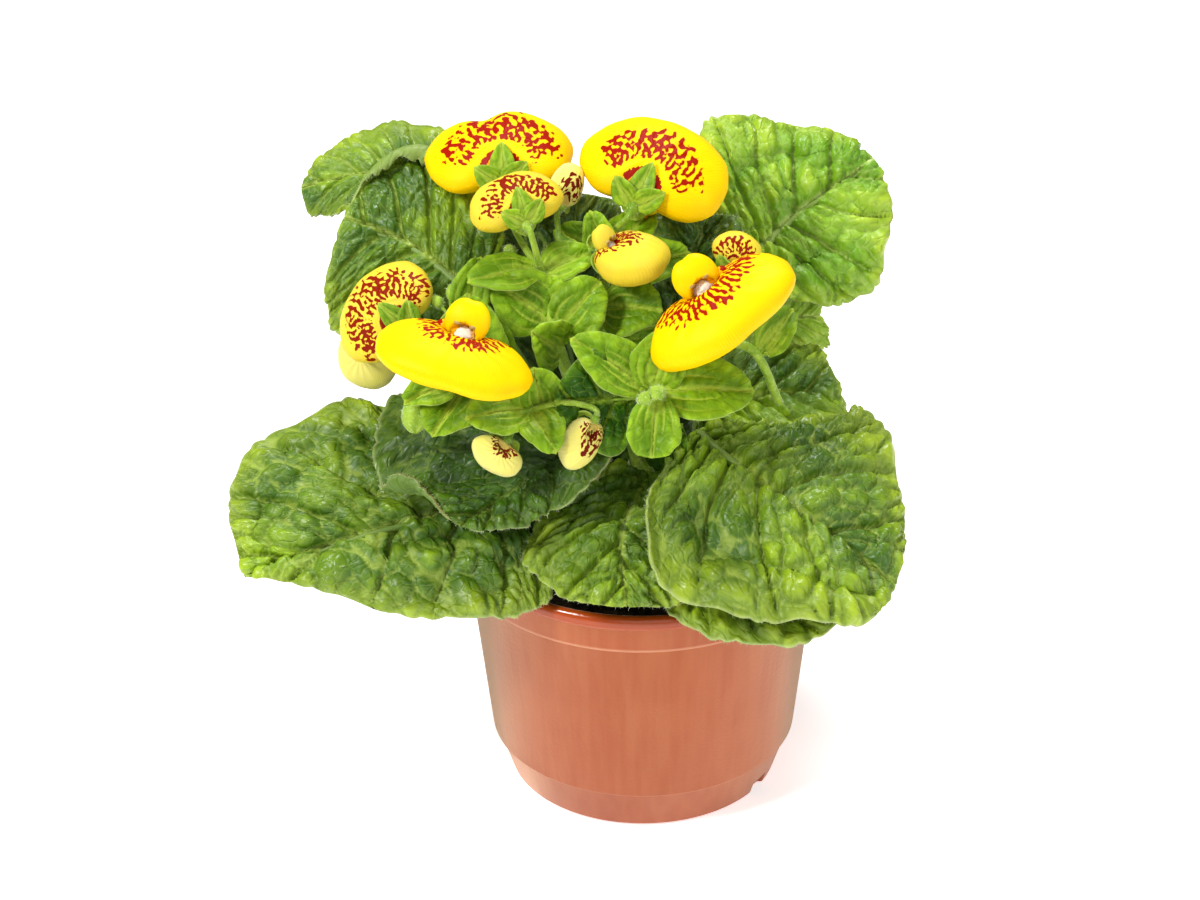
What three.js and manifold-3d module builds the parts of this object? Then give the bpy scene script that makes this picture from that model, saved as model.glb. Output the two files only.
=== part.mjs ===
// Pocketbook plant (Calceolaria) in a 12 cm plastic pot. Millimetres, +Z up, origin at the centre
// of the pot's foot, -Y towards the front. Every blade, pouch and tube is a closed solid, and pieces
// that lie against each other keep CLEAR between them.
import * as THREE from "three";
import { mergeVertices } from "three/addons/utils/BufferGeometryUtils.js";
import Module from "manifold-3d";

const wasm = await Module();
wasm.setup();

// Driving sizes
const CLEAR = 0.35; // running gap between neighbouring pieces
const POT_TURNS = 28; // facets round the pot
const FOOT_R = 45.7; // radius of the foot on the ground
const STEP_R = 51.7; // radius of the wall at the step above the foot band
const STEP_Z = 15.6;
const COLLAR_R = 59.4; // radius of the collar band under the lip
const COLLAR_Z = 76.5;
const LIP_R = 61; // outer radius of the rolled lip
const LIP_Z = 89.6; // height of the lip's top
const WALL = 1.3; // thickness of the plastic
const FLOOR = 2; // thickness of the pot's floor
const DRAINS = 6; // drain slots through the floor near its edge
const NOTCH_AT = [-33, 147]; // bearings of the notches in the foot's corner
const SOIL_Z = 79; // height of the soil at the wall
const BLADE = 1; // thickness of a rosette leaf
const FLARE = 2; // how far a margin stands out beyond its control points
const PETIOLE_R = 1.9; // radius of a rosette leaf's stalk
const STEM_R = 2; // radius of a flowering stem
const LEAFLET = 0.8; // thickness of a stem leaf
const SEPAL = 0.7; // thickness of a sepal
const TUBE_SIDES = 5; // and four for the thin stalks

const vec = (p) => new THREE.Vector3(...p);

// A closed geometry as a solid, its vertices merged by place and its faces turned outwards.
function solid(geometry) {
  const bare = new THREE.BufferGeometry();
  bare.setAttribute("position", geometry.getAttribute("position").clone());
  if (geometry.index) bare.setIndex(geometry.index.clone());
  const merged = mergeVertices(bare, 1e-4);
  const make = (triVerts) =>
    new wasm.Manifold(
      new wasm.Mesh({
        numProp: 3,
        vertProperties: new Float32Array(merged.attributes.position.array),
        triVerts,
      }),
    );
  const tri = new Uint32Array(merged.index.array);
  const made = make(tri);
  if (made.volume() > 0) return made;
  for (let i = 0; i < tri.length; i += 3)
    [tri[i + 1], tri[i + 2]] = [tri[i + 2], tri[i + 1]];
  return make(tri);
}

// The largest body of a solid that cutting has left in pieces.
function largest(shape) {
  const bodies = shape.decompose();
  return bodies.reduce((a, b) => (b.volume() > a.volume() ? b : a));
}

// A round stalk through the points, as much thicker and longer as the gap asks.
function tube(points, radius, gap = 0, steps = points.length) {
  const sides = radius < 1.2 ? 4 : TUBE_SIDES;
  const path = points.map(vec);
  const n = path.length - 1;
  path[0].addScaledVector(
    path[0].clone().sub(path[1]).normalize(),
    gap,
  );
  path[n].addScaledVector(
    path[n].clone().sub(path[n - 1]).normalize(),
    gap,
  );
  const ring = new THREE.Shape();
  for (let k = 0; k < sides; k++) {
    const a = (2 * Math.PI * k) / sides;
    const x = (radius + gap) * Math.cos(a);
    const y = (radius + gap) * Math.sin(a);
    k ? ring.lineTo(x, y) : ring.moveTo(x, y);
  }
  return solid(
    new THREE.ExtrudeGeometry(ring, {
      steps,
      extrudePath: new THREE.CatmullRomCurve3(path),
      bevelEnabled: false,
    }),
  );
}

// A ball at a point: a node of a stem, a receptacle or a round bud.
function ball(at, radius, gap = 0, turns = 6) {
  return solid(
    new THREE.SphereGeometry(radius + gap, turns, Math.ceil(0.75 * turns))
      .translate(...at),
  );
}

// A closed sheet: a grid of points thickened by half to each side along its own normals, with both
// faces split along the same diagonals.
function slab(grid, half) {
  const rows = grid.length;
  const cols = grid[0].length;
  const normals = grid.map((row) => row.map(() => new THREE.Vector3()));
  for (let i = 0; i + 1 < rows; i++)
    for (let j = 0; j + 1 < cols; j++) {
      const along = grid[i + 1][j].clone().sub(grid[i][j]);
      along.add(grid[i + 1][j + 1]).sub(grid[i][j + 1]);
      const across = grid[i][j + 1].clone().sub(grid[i][j]);
      across.add(grid[i + 1][j + 1]).sub(grid[i + 1][j]);
      const n = across.cross(along);
      for (const [a, b] of [[0, 0], [1, 0], [0, 1], [1, 1]])
        normals[i + a][j + b].add(n);
    }
  const position = [];
  for (const side of [1, -1])
    for (let i = 0; i < rows; i++)
      for (let j = 0; j < cols; j++) {
        const p = grid[i][j].clone();
        p.addScaledVector(normals[i][j].clone().normalize(), side * half);
        position.push(p.x, p.y, p.z);
      }
  const under = rows * cols;
  const at = (i, j) => i * cols + j;
  const index = [];
  const wall = (a, b) =>
    index.push(b, a, a + under, b, a + under, b + under);
  for (let i = 0; i + 1 < rows; i++)
    for (let j = 0; j + 1 < cols; j++) {
      const [a, b, c, d] = [at(i, j), at(i, j + 1), at(i + 1, j + 1), at(i + 1, j)];
      index.push(a, b, d, b, c, d);
      index.push(d + under, b + under, a + under);
      index.push(d + under, c + under, b + under);
    }
  for (let j = 0; j + 1 < cols; j++) {
    wall(at(0, j), at(0, j + 1));
    wall(at(rows - 1, j + 1), at(rows - 1, j));
  }
  for (let i = 0; i + 1 < rows; i++) {
    wall(at(i, cols - 1), at(i + 1, cols - 1));
    wall(at(i + 1, 0), at(i, 0));
  }
  const g = new THREE.BufferGeometry();
  g.setAttribute("position", new THREE.Float32BufferAttribute(position, 3));
  g.setIndex(index);
  return solid(g);
}

// A leaf blade. rib runs from the stalk to the tip; left and right are points of the two margins
// from the basal lobe to the tip. Rows of the grid follow the side veins from rib to margin; the
// lamina arches between them, its margin waves, and every other row is sunk as a pleat.
function blade(leaf, gap = 0) {
  const {
    rib, left, right, rows = 8, cols = 3, thick = BLADE,
    arch = 2, wave = 1.5, waves = 2.5, pleat = 0.5, tooth = 0.025, lag = 1.3,
  } = leaf;
  const spine = new THREE.CatmullRomCurve3(rib.map(vec), false, "catmullrom", 0.5);
  const base = vec(rib[0]);
  const tip = vec(rib[rib.length - 1]);
  const near = (p, q, d) => p.clone().addScaledVector(q.clone().sub(p).normalize(), d);
  const margin = (points) => {
    const m = points.map(vec);
    const ends = [near(base, m[0], 1.6), ...m, near(tip, m[m.length - 1], 0.9)];
    return new THREE.CatmullRomCurve3(ends, false, "catmullrom", 0.5);
  };
  const sides = [margin(left), margin(right)];
  const grid = [];
  for (let i = 0; i <= rows; i++) {
    const t = i / rows;
    const along = t ** lag;
    const p = spine.getPoint(along);
    const run = spine.getTangent(along);
    const body = Math.sin(Math.PI * t) ** 0.6;
    const row = [];
    for (let j = -cols; j <= cols; j++) {
      const v = Math.abs(j) / cols;
      const k = j < 0 ? 0 : 1;
      const out = sides[k].getPoint(t).sub(p);
      const up = k ? out.clone().cross(run) : run.clone().cross(out);
      up.normalize();
      const reach = v * (1 + tooth * v * (i % 2 ? 1 : -1) * body);
      const q = p.clone().addScaledVector(out, reach + (v * body * FLARE) / out.length());
      const swell = 4 * arch * v * (1 - v) * body;
      const ripple = wave * v * v * body * Math.sin(2 * Math.PI * waves * t + 2.1 * k);
      const sunk = i % 2 && v > 0 ? pleat * body : 0;
      q.addScaledVector(up, swell + ripple - sunk);
      if (gap && v === 1) q.addScaledVector(out.normalize(), gap);
      if (gap && (i === 0 || i === rows)) q.addScaledVector(run, i ? gap : -gap);
      row.push(q);
    }
    grid.push(row);
  }
  return slab(grid, thick / 2 + gap);
}

// The control points of a plain ovate leaf between two points: width across, arc the rise of its
// middle, cup the rise of its margins, and up the side its upper face looks to. A blunt one is
// widest towards its tip.
function ovate({ from, to, up, width, arc = 1.5, cup = 1.5, blunt = false, ...rest }) {
  const a = vec(from);
  const run = vec(to).sub(a);
  const along = run.clone().normalize();
  const face = vec(up);
  face.addScaledVector(along, -face.dot(along)).normalize();
  const aside = face.clone().cross(along);
  const at = (t, s, h) =>
    a.clone().addScaledVector(run, t).addScaledVector(aside, (s * width) / 2)
      .addScaledVector(face, 4 * arc * t * (1 - t) + h).toArray();
  const profile = blunt
    ? [[0.14, 0.5], [0.4, 0.85], [0.68, 1], [0.9, 0.66]]
    : [[0.1, 0.52], [0.34, 1], [0.62, 0.88], [0.86, 0.43]];
  return {
    rib: [at(0, 0, 0), at(0.5, 0, 0), at(1, 0, 0)],
    left: profile.map(([t, w]) => at(t, w, cup * w)),
    right: profile.map(([t, w]) => at(t, -w, cup * w)),
    rows: 3, cols: width > 15 ? 2 : 1, thick: LEAFLET,
    arch: 0.8, wave: 0.6, waves: 1.5, pleat: 0.3, tooth: 0.03,
    ...rest,
  };
}

// A frame whose y runs to the far end of a pouch and whose z leaves its spotted face.
function bloomFrame({ at, far, face }) {
  const z = vec(face).normalize();
  const y = vec(far);
  y.addScaledVector(z, -y.dot(z)).normalize();
  return new THREE.Matrix4().makeBasis(y.clone().cross(z), y, z).setPosition(...at);
}

// A sphere bent by a map of its own unit coordinates and grown by the gap along its normals.
function bent(turns, map, frame, gap) {
  const g = new THREE.SphereGeometry(1, turns, Math.round(turns * 0.56)).rotateX(Math.PI / 2);
  g.deleteAttribute("uv");
  g.deleteAttribute("normal");
  const m = mergeVertices(g, 1e-4);
  const p = m.attributes.position;
  for (let i = 0; i < p.count; i++)
    p.setXYZ(i, ...map(p.getX(i), p.getY(i), p.getZ(i)));
  m.computeVertexNormals();
  const n = m.attributes.normal;
  for (let i = 0; i < p.count; i++)
    p.setXYZ(
      i,
      p.getX(i) + gap * n.getX(i),
      p.getY(i) + gap * n.getY(i),
      p.getZ(i) + gap * n.getZ(i),
    );
  m.deleteAttribute("normal");
  return solid(m.applyMatrix4(frame));
}

// A bloom: the inflated lower lip, kidney shaped and hollowed at its mouth beside the hinge, and the
// small hooded upper lip that stands on the mouth's side.
function bloom(flower, gap = 0) {
  const {
    width: w, length: l, thick: t, turns = 14,
    notch = 0.1, waist = 0.3, droop = 0.12, saddle = 0.1, mouth = 1, hood = 0.29, hoodLean = 0.5,
  } = flower;
  const frame = bloomFrame(flower);
  const pouch = bent(
    turns,
    (x, y, z) => {
      const a = Math.atan2(x, y);
      const rho = Math.hypot(x, y) ** 0.8;
      const back = (Math.PI - Math.abs(a)) / 0.5;
      const out = 1 - notch * Math.exp(-((a / 0.32) ** 2)) - waist * Math.exp(-(back ** 2));
      const px = (w / 2) * rho * out * Math.sin(a);
      const py = (l / 2) * (rho * out * Math.cos(a) + 1) - l * 0.14;
      const hollow = Math.exp(-((px / (0.17 * w)) ** 2) - ((py - 0.12 * l) / (0.14 * l)) ** 2);
      const dip = z * mouth > 0 ? 0.3 * t * hollow * mouth : 0;
      const bend = l * (droop * (py / l) ** 2 + saddle * ((2 * px) / w) ** 2);
      return [px, py, z * t * (z > 0 ? 0.42 : 0.58) - dip - bend];
    },
    frame,
    gap,
  );
  if (!hood) return pouch;
  const r = (hood * w) / 2;
  const tilt = new THREE.Matrix4().makeRotationX(mouth * hoodLean);
  const stand = new THREE.Matrix4().makeTranslation(0, mouth < 0 ? 0.15 * l : 0.04 * l, mouth * 0.78 * r);
  const cap = bent(
    7,
    (x, y, z) => {
      const open = 1 - x * x - z * z;
      const depth = y < 0 ? -0.75 * r * Math.sqrt(Math.max(open, 0)) : 0;
      return [r * x, y < 0 ? depth - 0.5 : -0.35 * r * open + 0.5, 1.1 * r * z];
    },
    frame.clone().multiply(stand).multiply(tilt),
    gap,
  );
  return pouch.add(cap);
}

// Rosette leaves, each with its stalk from the soil.
const ROSETTE = {
  leaf_front_left: {
    root: [-13, -7], rib: [[-33, -18, 109], [-80, -43, 114], [-125, -57, 104]],
    left: [[-29, -51, 95], [-37, -57, 93], [-55, -63, 93.5], [-80, -64, 97.5], [-107, -61, 104]],
    right: [[-69, -8, 127], [-81, -5, 133.5], [-96, -4, 136], [-118, -15, 130], [-129, -30, 124], [-129, -42, 115]],
    arch: 3, wave: 1.2,
  },
  leaf_front_left_inner: {
    root: [-8, -11], rib: [[-16, -18, 125], [-38, -46, 129], [-56, -65, 126]],
    left: [[-12, -30, 136], [-13, -42, 135], [-25, -55, 128], [-35, -60, 126], [-47, -65, 125]],
    right: [[-65, -10, 142], [-80, -12, 142], [-83, -28, 136], [-80, -44, 127], [-73, -52, 131], [-65, -60, 131]],
    arch: 2.5, wave: 1,
  },
  leaf_front: {
    root: [-1, -13], rib: [[3, -21, 118], [-6, -50, 116], [-5, -72, 101]],
    left: [[14, -22, 123], [25, -33, 115], [21, -51, 102], [8, -64, 98]],
    right: [[-9, -22, 123], [-24, -35, 118], [-34, -52, 112], [-34, -58, 110], [-27, -66, 104], [-18, -70, 102]],
    arch: 2.5, wave: 1,
  },
  leaf_front_right: {
    root: [9, -9], rib: [[18, -13, 131], [44, -42, 123], [79, -59, 100]],
    left: [[30, -14, 133], [51, -8, 130], [68, -4, 132], [76, -8, 131], [80, -24, 122], [81.5, -38, 110.5]],
    right: [[5, -42, 129], [2, -60, 121], [10, -72, 108], [31, -78, 104], [48, -78, 101], [67, -75, 97]],
    arch: 3, wave: 1.2,
  },
  leaf_front_right_lower: {
    root: [13, -5], rib: [[22, -22, 98], [46, -50, 97], [80, -50, 98]],
    left: [[38, -22, 116], [64, -14, 116], [78, -24, 110], [82, -38, 104]],
    right: [[7, -55, 96], [15, -66, 91], [29, -72, 90], [46, -71, 90], [61, -66, 92], [72, -58, 94]],
    arch: 2, wave: 1, cols: 2,
  },
  leaf_right: {
    root: [11, 2], rib: [[18, -2, 122], [42, 8, 134], [67, 12, 126]],
    left: [[28, 14, 149], [37, 24, 148], [50, 28, 140], [57, 26, 141], [61, 21, 137]],
    right: [[27, -8, 127], [40, -10, 125], [54, -6, 125], [65, 3, 126]],
    arch: 2, wave: 1, cols: 2,
  },
  leaf_right_small: {
    root: [14, 9], rib: [[40, 34, 147], [51, 36, 148], [60, 36, 149]],
    left: [[43, 39, 152], [49, 42, 157], [55, 42, 158], [60, 40, 155]],
    right: [[46, 34, 142], [54, 33, 138], [60, 34, 140], [62, 35, 144]],
    arch: 1.2, wave: 0.6, rows: 7, cols: 2,
  },
  leaf_back_right: {
    root: [8, 13], rib: [[35, 34, 171], [53, 46, 183], [78, 58, 196]],
    left: [[22, 44, 187], [21, 54, 201], [25, 62, 208.5], [38, 66, 206], [52, 66, 204.5], [66, 64, 201]],
    right: [[43, 30, 160], [53, 32, 157], [66, 34, 155.5], [75, 34, 161.5], [80, 40, 172], [82, 50, 185]],
    arch: 3, wave: 1.2,
  },
  leaf_back_left: {
    root: [-9, 10], rib: [[-68, 36, 190], [-88, 44, 197], [-112, 44, 193]],
    left: [[-72, 30, 184], [-84, 32, 187], [-93, 34, 190], [-102, 36, 188], [-108, 39, 186]],
    right: [[-65, 56, 206], [-77, 61, 206], [-88, 60, 207.5], [-98, 56, 203], [-106, 50, 199]],
    arch: 2, wave: 1, cols: 2,
  },
  leaf_left_upright: {
    root: [-13, 3], rib: [[-52, 2, 172], [-73, 16, 184], [-96, 24, 191]],
    left: [[-65, 4, 158], [-80, 6, 155], [-95, 7, 158], [-100, 8, 164], [-101, 10, 173]],
    right: [[-45, 18, 185], [-53, 34, 199], [-62, 42, 204], [-74, 44, 207], [-87, 37, 201]],
    arch: 2.5, wave: 1,
  },
  leaf_centre_upright: {
    root: [-4, 9], rib: [[-14, 7, 98], [-24, 16, 155], [-20, 30, 196]],
    left: [[-32, 8, 114], [-47, 10, 138], [-54, 15, 160], [-46, 26, 184], [-36, 31, 194]],
    right: [[-5, 11, 110], [-6, 14, 137], [-4, 20, 160], [-2, 27, 180], [-9, 31, 191]],
    arch: 2.5, wave: 1, cols: 2,
  },
  leaf_centre_right_upright: {
    root: [4, 11], rib: [[7, 12, 98], [14, 15, 160], [22, 24, 191]],
    left: [[0, 14, 112], [0, 17, 145], [1, 19, 163], [2, 24.5, 180], [8, 27.5, 191]],
    right: [[14, 12, 112], [19, 12, 138], [31, 15, 159], [33, 19, 174], [30, 23, 188]],
    arch: 2, wave: 1, cols: 2,
  },
  leaf_back_centre: {
    root: [-2, 15], rib: [[-8, 24, 108], [-22, 54, 126], [-34, 90, 118]],
    left: [[-26, 28, 114], [-48, 42, 124], [-58, 62, 122], [-50, 82, 116]],
    right: [[6, 32, 116], [12, 50, 126], [6, 70, 124], [-12, 88, 118]],
    arch: 2.5, wave: 2, rows: 6, cols: 2,
  },
  leaf_back_right_lower: {
    root: [6, 5], rib: [[20, 18, 100], [38, 44, 110], [56, 78, 102]],
    left: [[18, 36, 104], [20, 56, 109], [28, 76, 106], [42, 86, 102]],
    right: [[38, 14, 102], [58, 22, 106], [70, 42, 105], [68, 64, 102]],
    arch: 2, wave: 2, rows: 6, cols: 2,
  },
  leaf_back_left_lower: {
    root: [-7, 4], rib: [[-24, 12, 97], [-46, 28, 107], [-74, 46, 100]],
    left: [[-34, 2, 97], [-54, 4, 102], [-72, 16, 103], [-80, 32, 100]],
    right: [[-28, 28, 100], [-38, 46, 105], [-52, 62, 104], [-66, 60, 100]],
    arch: 2, wave: 2, rows: 6, cols: 2,
  },
};

// Blooms and large buds. at is the hinge, far points along the pouch, face leaves its spotted side,
// and the ripe ones are full yellow.
const BLOOMS = {
  bloom_top_left: {
    at: [-44, 16, 206], far: [-0.1, 0.88, 0.45], face: [0, -0.45, 0.89],
    width: 48, length: 38, thick: 15, mouth: -1, notch: 0.13, ripe: true,
  },
  bloom_top_right: {
    at: [-1, 4, 204.5], far: [0.4, 0.73, 0.54], face: [0, -0.6, 0.8],
    width: 49, length: 38, thick: 16, mouth: -1, notch: 0.03, ripe: true,
  },
  bloom_upper_left: {
    at: [-36, -14, 206], far: [-0.35, 0.8, 0.5], face: [0, -0.53, 0.85],
    width: 30, length: 22, thick: 12, mouth: -1, notch: 0.05,
  },
  bloom_right: {
    at: [19, -30, 189.5], far: [0.35, -0.93, -0.05], face: [-0.47, -0.22, 0.85],
    width: 51, length: 32, thick: 15, notch: 0.04, ripe: true,
  },
  bloom_left: {
    at: [-74, -20, 172], far: [-0.71, 0.63, 0.3], face: [-0.33, -0.68, 0.66],
    width: 36, length: 29, thick: 14, mouth: -1, notch: 0.05,
  },
  bloom_front: {
    at: [-53, -48, 183], far: [-0.25, -0.95, -0.05], face: [0.2, -0.1, 0.97],
    width: 49, length: 31, thick: 13, notch: 0.06, ripe: true,
  },
  bloom_centre: {
    at: [-11, -12, 195], far: [0.82, -0.4, -0.2], face: [-0.15, -0.1, 0.98],
    width: 23, length: 25, thick: 13, notch: 0.02, waist: 0.2, hood: 0.42,
  },
  bloom_left_lower: {
    at: [-83, -4, 160], far: [-0.75, -0.2, -0.65], face: [-0.3, -0.85, 0.4],
    width: 22, length: 21, thick: 12, notch: 0, waist: 0.15, turns: 12, hood: 0,
  },
  bloom_behind_right: {
    at: [29, -5, 186], far: [0.3, 0.5, 0.8], face: [0, -0.8, 0.5],
    width: 16, length: 13, thick: 9, notch: 0.03, waist: 0.2, turns: 12, hood: 0, mouth: -1,
  },
  bud_top: {
    at: [-24.5, 9, 202], far: [0.4, 0.35, 0.85], face: [0.4, -0.85, 0.3],
    width: 11, length: 15, thick: 9, notch: 0, waist: 0.1, turns: 12, hood: 0,
  },
  bud_front_left: {
    at: [-42, -55, 149], far: [-0.5, -0.6, -0.6], face: [0.2, -0.7, 0.5],
    width: 17, length: 11, thick: 10, notch: 0, waist: 0.15, turns: 12, hood: 0,
  },
  bud_front_centre: {
    at: [-15, -52, 154], far: [-0.35, -0.5, -0.8], face: [0.5, -0.8, 0.1],
    width: 13, length: 18, thick: 10, notch: 0, waist: 0.15, turns: 12, hood: 0,
  },
};

// Flowering stems: stalks as runs of points, leaves, green buds, and for each bloom that a stem
// holds the points its own stalk passes on the way to the hinge.
const STEMS = {
  stem_centre: {
    stalks: [
      [STEM_R, [[-4, -3, 68], [-14, -12, 120], [-26, -24, 168], [-31, -14, 188]]],
    ],
    leaves: [
      { from: [-33, -14, 188], to: [-54, -22, 188], up: [0, -0.4, 0.9], width: 12 },
      { from: [-29, -14, 188], to: [-14, -9, 192], up: [0, -0.5, 0.85], width: 11 },
      { from: [-28, -21, 174], to: [-46, -19, 187], up: [0.1, -0.8, 0.6], width: 18 },
      { from: [-25, -24, 172], to: [-12, -19, 187], up: [-0.2, -0.85, 0.5], width: 18 },
      { from: [-26, -26, 164], to: [-34, -36, 178], up: [0.2, -0.85, 0.5], width: 13 },
    ],
    buds: [[[-41, -4, 191], 1.9], [[-29, -7, 191], 2.2]],
    holds: {
      bloom_upper_left: [[-31, -14, 188]],
      bloom_top_left: [[-31, -14, 188], [-39, -2, 196]],
      bud_top: [[-31, -14, 188], [-26, 0, 192]],
    },
  },
  stem_right: {
    stalks: [
      [STEM_R, [[3, -2, 68], [-2, -8, 120], [-12, -16, 165], [-11, -5, 187]]],
      [1.5, [[-4, -10, 130], [12, -14, 152], [24, -20, 172]]],
      [1.5, [[20, -18, 166], [34, -24, 166], [44, -19, 144]]],
    ],
    leaves: [
      { from: [-12, -6, 187], to: [-16, 0, 203], up: [0.2, -0.9, 0.3], width: 7 },
      { from: [-11, -3, 189], to: [-27, 6, 194], up: [0, -0.6, 0.8], width: 9 },
      { from: [-9, -2, 190], to: [4, 12, 197], up: [0, -0.6, 0.8], width: 11 },
      { from: [-11, -15, 176], to: [7, -22, 178], up: [0, -0.7, 0.7], width: 18 },
      { from: [-9, -8, 184], to: [16, 0, 188], up: [0, -0.7, 0.7], width: 13 },
      { from: [26, -16, 176], to: [16, -10, 190], up: [0.1, -0.85, 0.5], width: 11 },
      { from: [27, -14, 178], to: [38, 2, 190], up: [0, -0.85, 0.5], width: 9 },
      { from: [36, -22, 163], to: [48, -12, 174], up: [0, -0.8, 0.6], width: 8 },
      { from: [-9, -12, 168], to: [8, -8, 166], up: [0, -0.9, 0.4], width: 18 },
    ],
    buds: [[[-14, -20, 183], 1.9]],
    holds: {
      bloom_top_right: [[-11, -5, 187], [-9, -1, 195]],
      bloom_centre: [[-11, -5, 187]],
      bloom_right: [[24, -20, 172], [21, -20, 181]],
      bloom_behind_right: [[24, -20, 172], [28, -12, 179]],
    },
  },
  stem_left: {
    stalks: [
      [STEM_R, [[-8, 1, 68], [-24, -6, 120], [-46, -22, 156], [-56, -18, 171]]],
      [1, [[-46, -22, 156], [-58, -36, 160], [-70, -40, 153]]],
    ],
    leaves: [
      { from: [-51, -30, 170], to: [-53, -33, 190], up: [0.1, -0.9, 0.3], width: 20 },
      { from: [-47, -26, 158], to: [-44, -28, 178], up: [0.1, -0.9, 0.3], width: 13 },
      { from: [-58, -36, 160], to: [-73, -48, 159], up: [0, -0.5, 0.85], width: 9 },
      { from: [-51, -32, 158], to: [-64, -56, 152], up: [0, -0.6, 0.8], width: 18 },
      { from: [-54, -17, 176], to: [-50, -8, 191], up: [0, -0.9, 0.4], width: 9 },
    ],
    buds: [[[-70, -41, 152], 4.6], [[-59, -12, 180], 2.4], [[-64, -12, 177], 2]],
    holds: {
      bloom_left: [[-56, -18, 171], [-62, -22, 172]],
      bloom_front: [[-51, -20, 164], [-52, -32, 176]],
      bloom_left_lower: [[-56, -18, 171], [-70, -6, 167]],
    },
  },
  stem_front: {
    stalks: [
      [STEM_R, [[0, -7, 68], [2, -13, 118], [-6, -31, 145], [2, -42, 160]]],
      [1.5, [[-5, -28, 142], [-24, -38, 150], [-34, -46, 156]]],
      [1.3, [[2, -42, 160], [5, -50, 164], [4, -54, 166]]],
    ],
    leaves: [
      { from: [1, -43, 164], to: [-22, -39, 177], up: [0.15, -0.6, 0.8], width: 14 },
      { from: [-1, -40, 158], to: [-27, -49, 160], up: [-0.1, -0.9, 0.45], width: 30 },
      { from: [0, -18, 124], to: [13, -27, 141], up: [0, -0.9, 0.4], width: 22 },
      { from: [3, -49, 165], to: [3, -63, 148], up: [0, -0.6, 0.8], width: 13, blunt: true },
      { from: [6, -46, 162], to: [35, -42, 160], up: [0, -0.55, 0.85], width: 20 },
      { from: [4, -43, 163], to: [8, -38, 180], up: [0, -0.9, 0.4], width: 13 },
      { from: [-36, -46, 156], to: [-54, -54, 157], up: [0, -0.6, 0.8], width: 13 },
      { from: [-33, -48, 156], to: [-26, -60, 148], up: [0, -0.6, 0.8], width: 10 },
      { from: [-30, -42, 156], to: [-33, -44, 170], up: [0, -0.8, 0.6], width: 14 },
    ],
    buds: [[[5, -56, 167], 2.4], [[1, -56, 165], 2]],
    holds: {
      bud_front_left: [[-34, -46, 156], [-38, -49, 156]],
      bud_front_centre: [[-34, -46, 156], [-22, -49, 160]],
    },
  },
};

// The pot: foot band, wall, collar and rolled lip turned as one profile, with drain slots cut
// through the corner of the foot.
function pot() {
  const profile = [
    [0, 0], [FOOT_R - 0.3, 0], [STEP_R - 1, STEP_Z - 0.4], [STEP_R, STEP_Z],
    [COLLAR_R - 1.2, COLLAR_Z - 0.6], [COLLAR_R, COLLAR_Z], [COLLAR_R + 0.3, LIP_Z - 4.8],
    [LIP_R - 0.1, LIP_Z - 4], [LIP_R - 0.4, LIP_Z - 0.8], [LIP_R - 1.9, LIP_Z],
    [LIP_R - 3.2, LIP_Z - 1.4],
    [COLLAR_R - 1.2 - WALL, COLLAR_Z], [STEP_R - WALL, STEP_Z], [FOOT_R - WALL - 0.6, FLOOR],
    [0, FLOOR],
  ].map(([r, z]) => new THREE.Vector2(r, z));
  let body = solid(new THREE.LatheGeometry(profile, POT_TURNS).rotateX(Math.PI / 2));
  for (let k = 0; k < DRAINS; k++) {
    const slot = new THREE.BoxGeometry(5, 9, 6)
      .translate(FOOT_R - 8, 0, 1)
      .rotateZ((2 * Math.PI * (k + 0.5)) / DRAINS);
    body = body.subtract(solid(slot));
  }
  for (const turn of NOTCH_AT) {
    const notch = new THREE.BoxGeometry(7, 8, 6)
      .translate(FOOT_R + 1.6, 0, 2)
      .rotateZ((turn * Math.PI) / 180);
    body = body.subtract(solid(notch));
  }
  return body;
}

// The soil: a plug that fills the pot, slightly heaped and rough on top.
function soil() {
  const side = CLEAR + 0.35;
  const profile = [
    [0, FLOOR + CLEAR], [FOOT_R - WALL - 1.2 - side, FLOOR + CLEAR],
    [STEP_R - WALL - side - 0.2, STEP_Z], [COLLAR_R - 1.2 - WALL - side, COLLAR_Z],
    [COLLAR_R - 1.8 - WALL - side, SOIL_Z], [42, SOIL_Z + 1], [24, SOIL_Z + 1.2],
    [0, SOIL_Z + 2],
  ].map(([r, z]) => new THREE.Vector2(r, z));
  const g = new THREE.LatheGeometry(profile, 15).rotateX(Math.PI / 2);
  const p = g.attributes.position;
  for (let i = 0; i < p.count; i++) {
    const [x, y, z] = [p.getX(i), p.getY(i), p.getZ(i)];
    if (z > SOIL_Z + 0.3)
      p.setZ(i, z + 0.9 * Math.sin(0.31 * x + 1) * Math.cos(0.27 * y) + 0.5 * Math.sin(0.7 * x - 0.6 * y));
  }
  return solid(g);
}

// A rosette leaf: blade and stalk in one; the stalk runs on under the blade as its midrib.
function rosetteLeaf(leaf, gap = 0) {
  const [a, b] = [vec(leaf.rib[0]), vec(leaf.rib[1])];
  const [rx, ry] = leaf.root;
  const into = a.clone().lerp(b, 0.22);
  const knee = [(rx * 2 + a.x) / 3, (ry * 2 + a.y) / 3, 78 + (a.z - 78) * 0.45];
  const stalk = tube(
    [[rx, ry, SOIL_Z - 12], knee, a.toArray().map((c, k) => c - (k === 2 ? 1.2 : 0)), [into.x, into.y, into.z - 1]],
    PETIOLE_R,
    gap,
    3,
  );
  return blade(leaf, gap).add(stalk);
}

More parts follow.
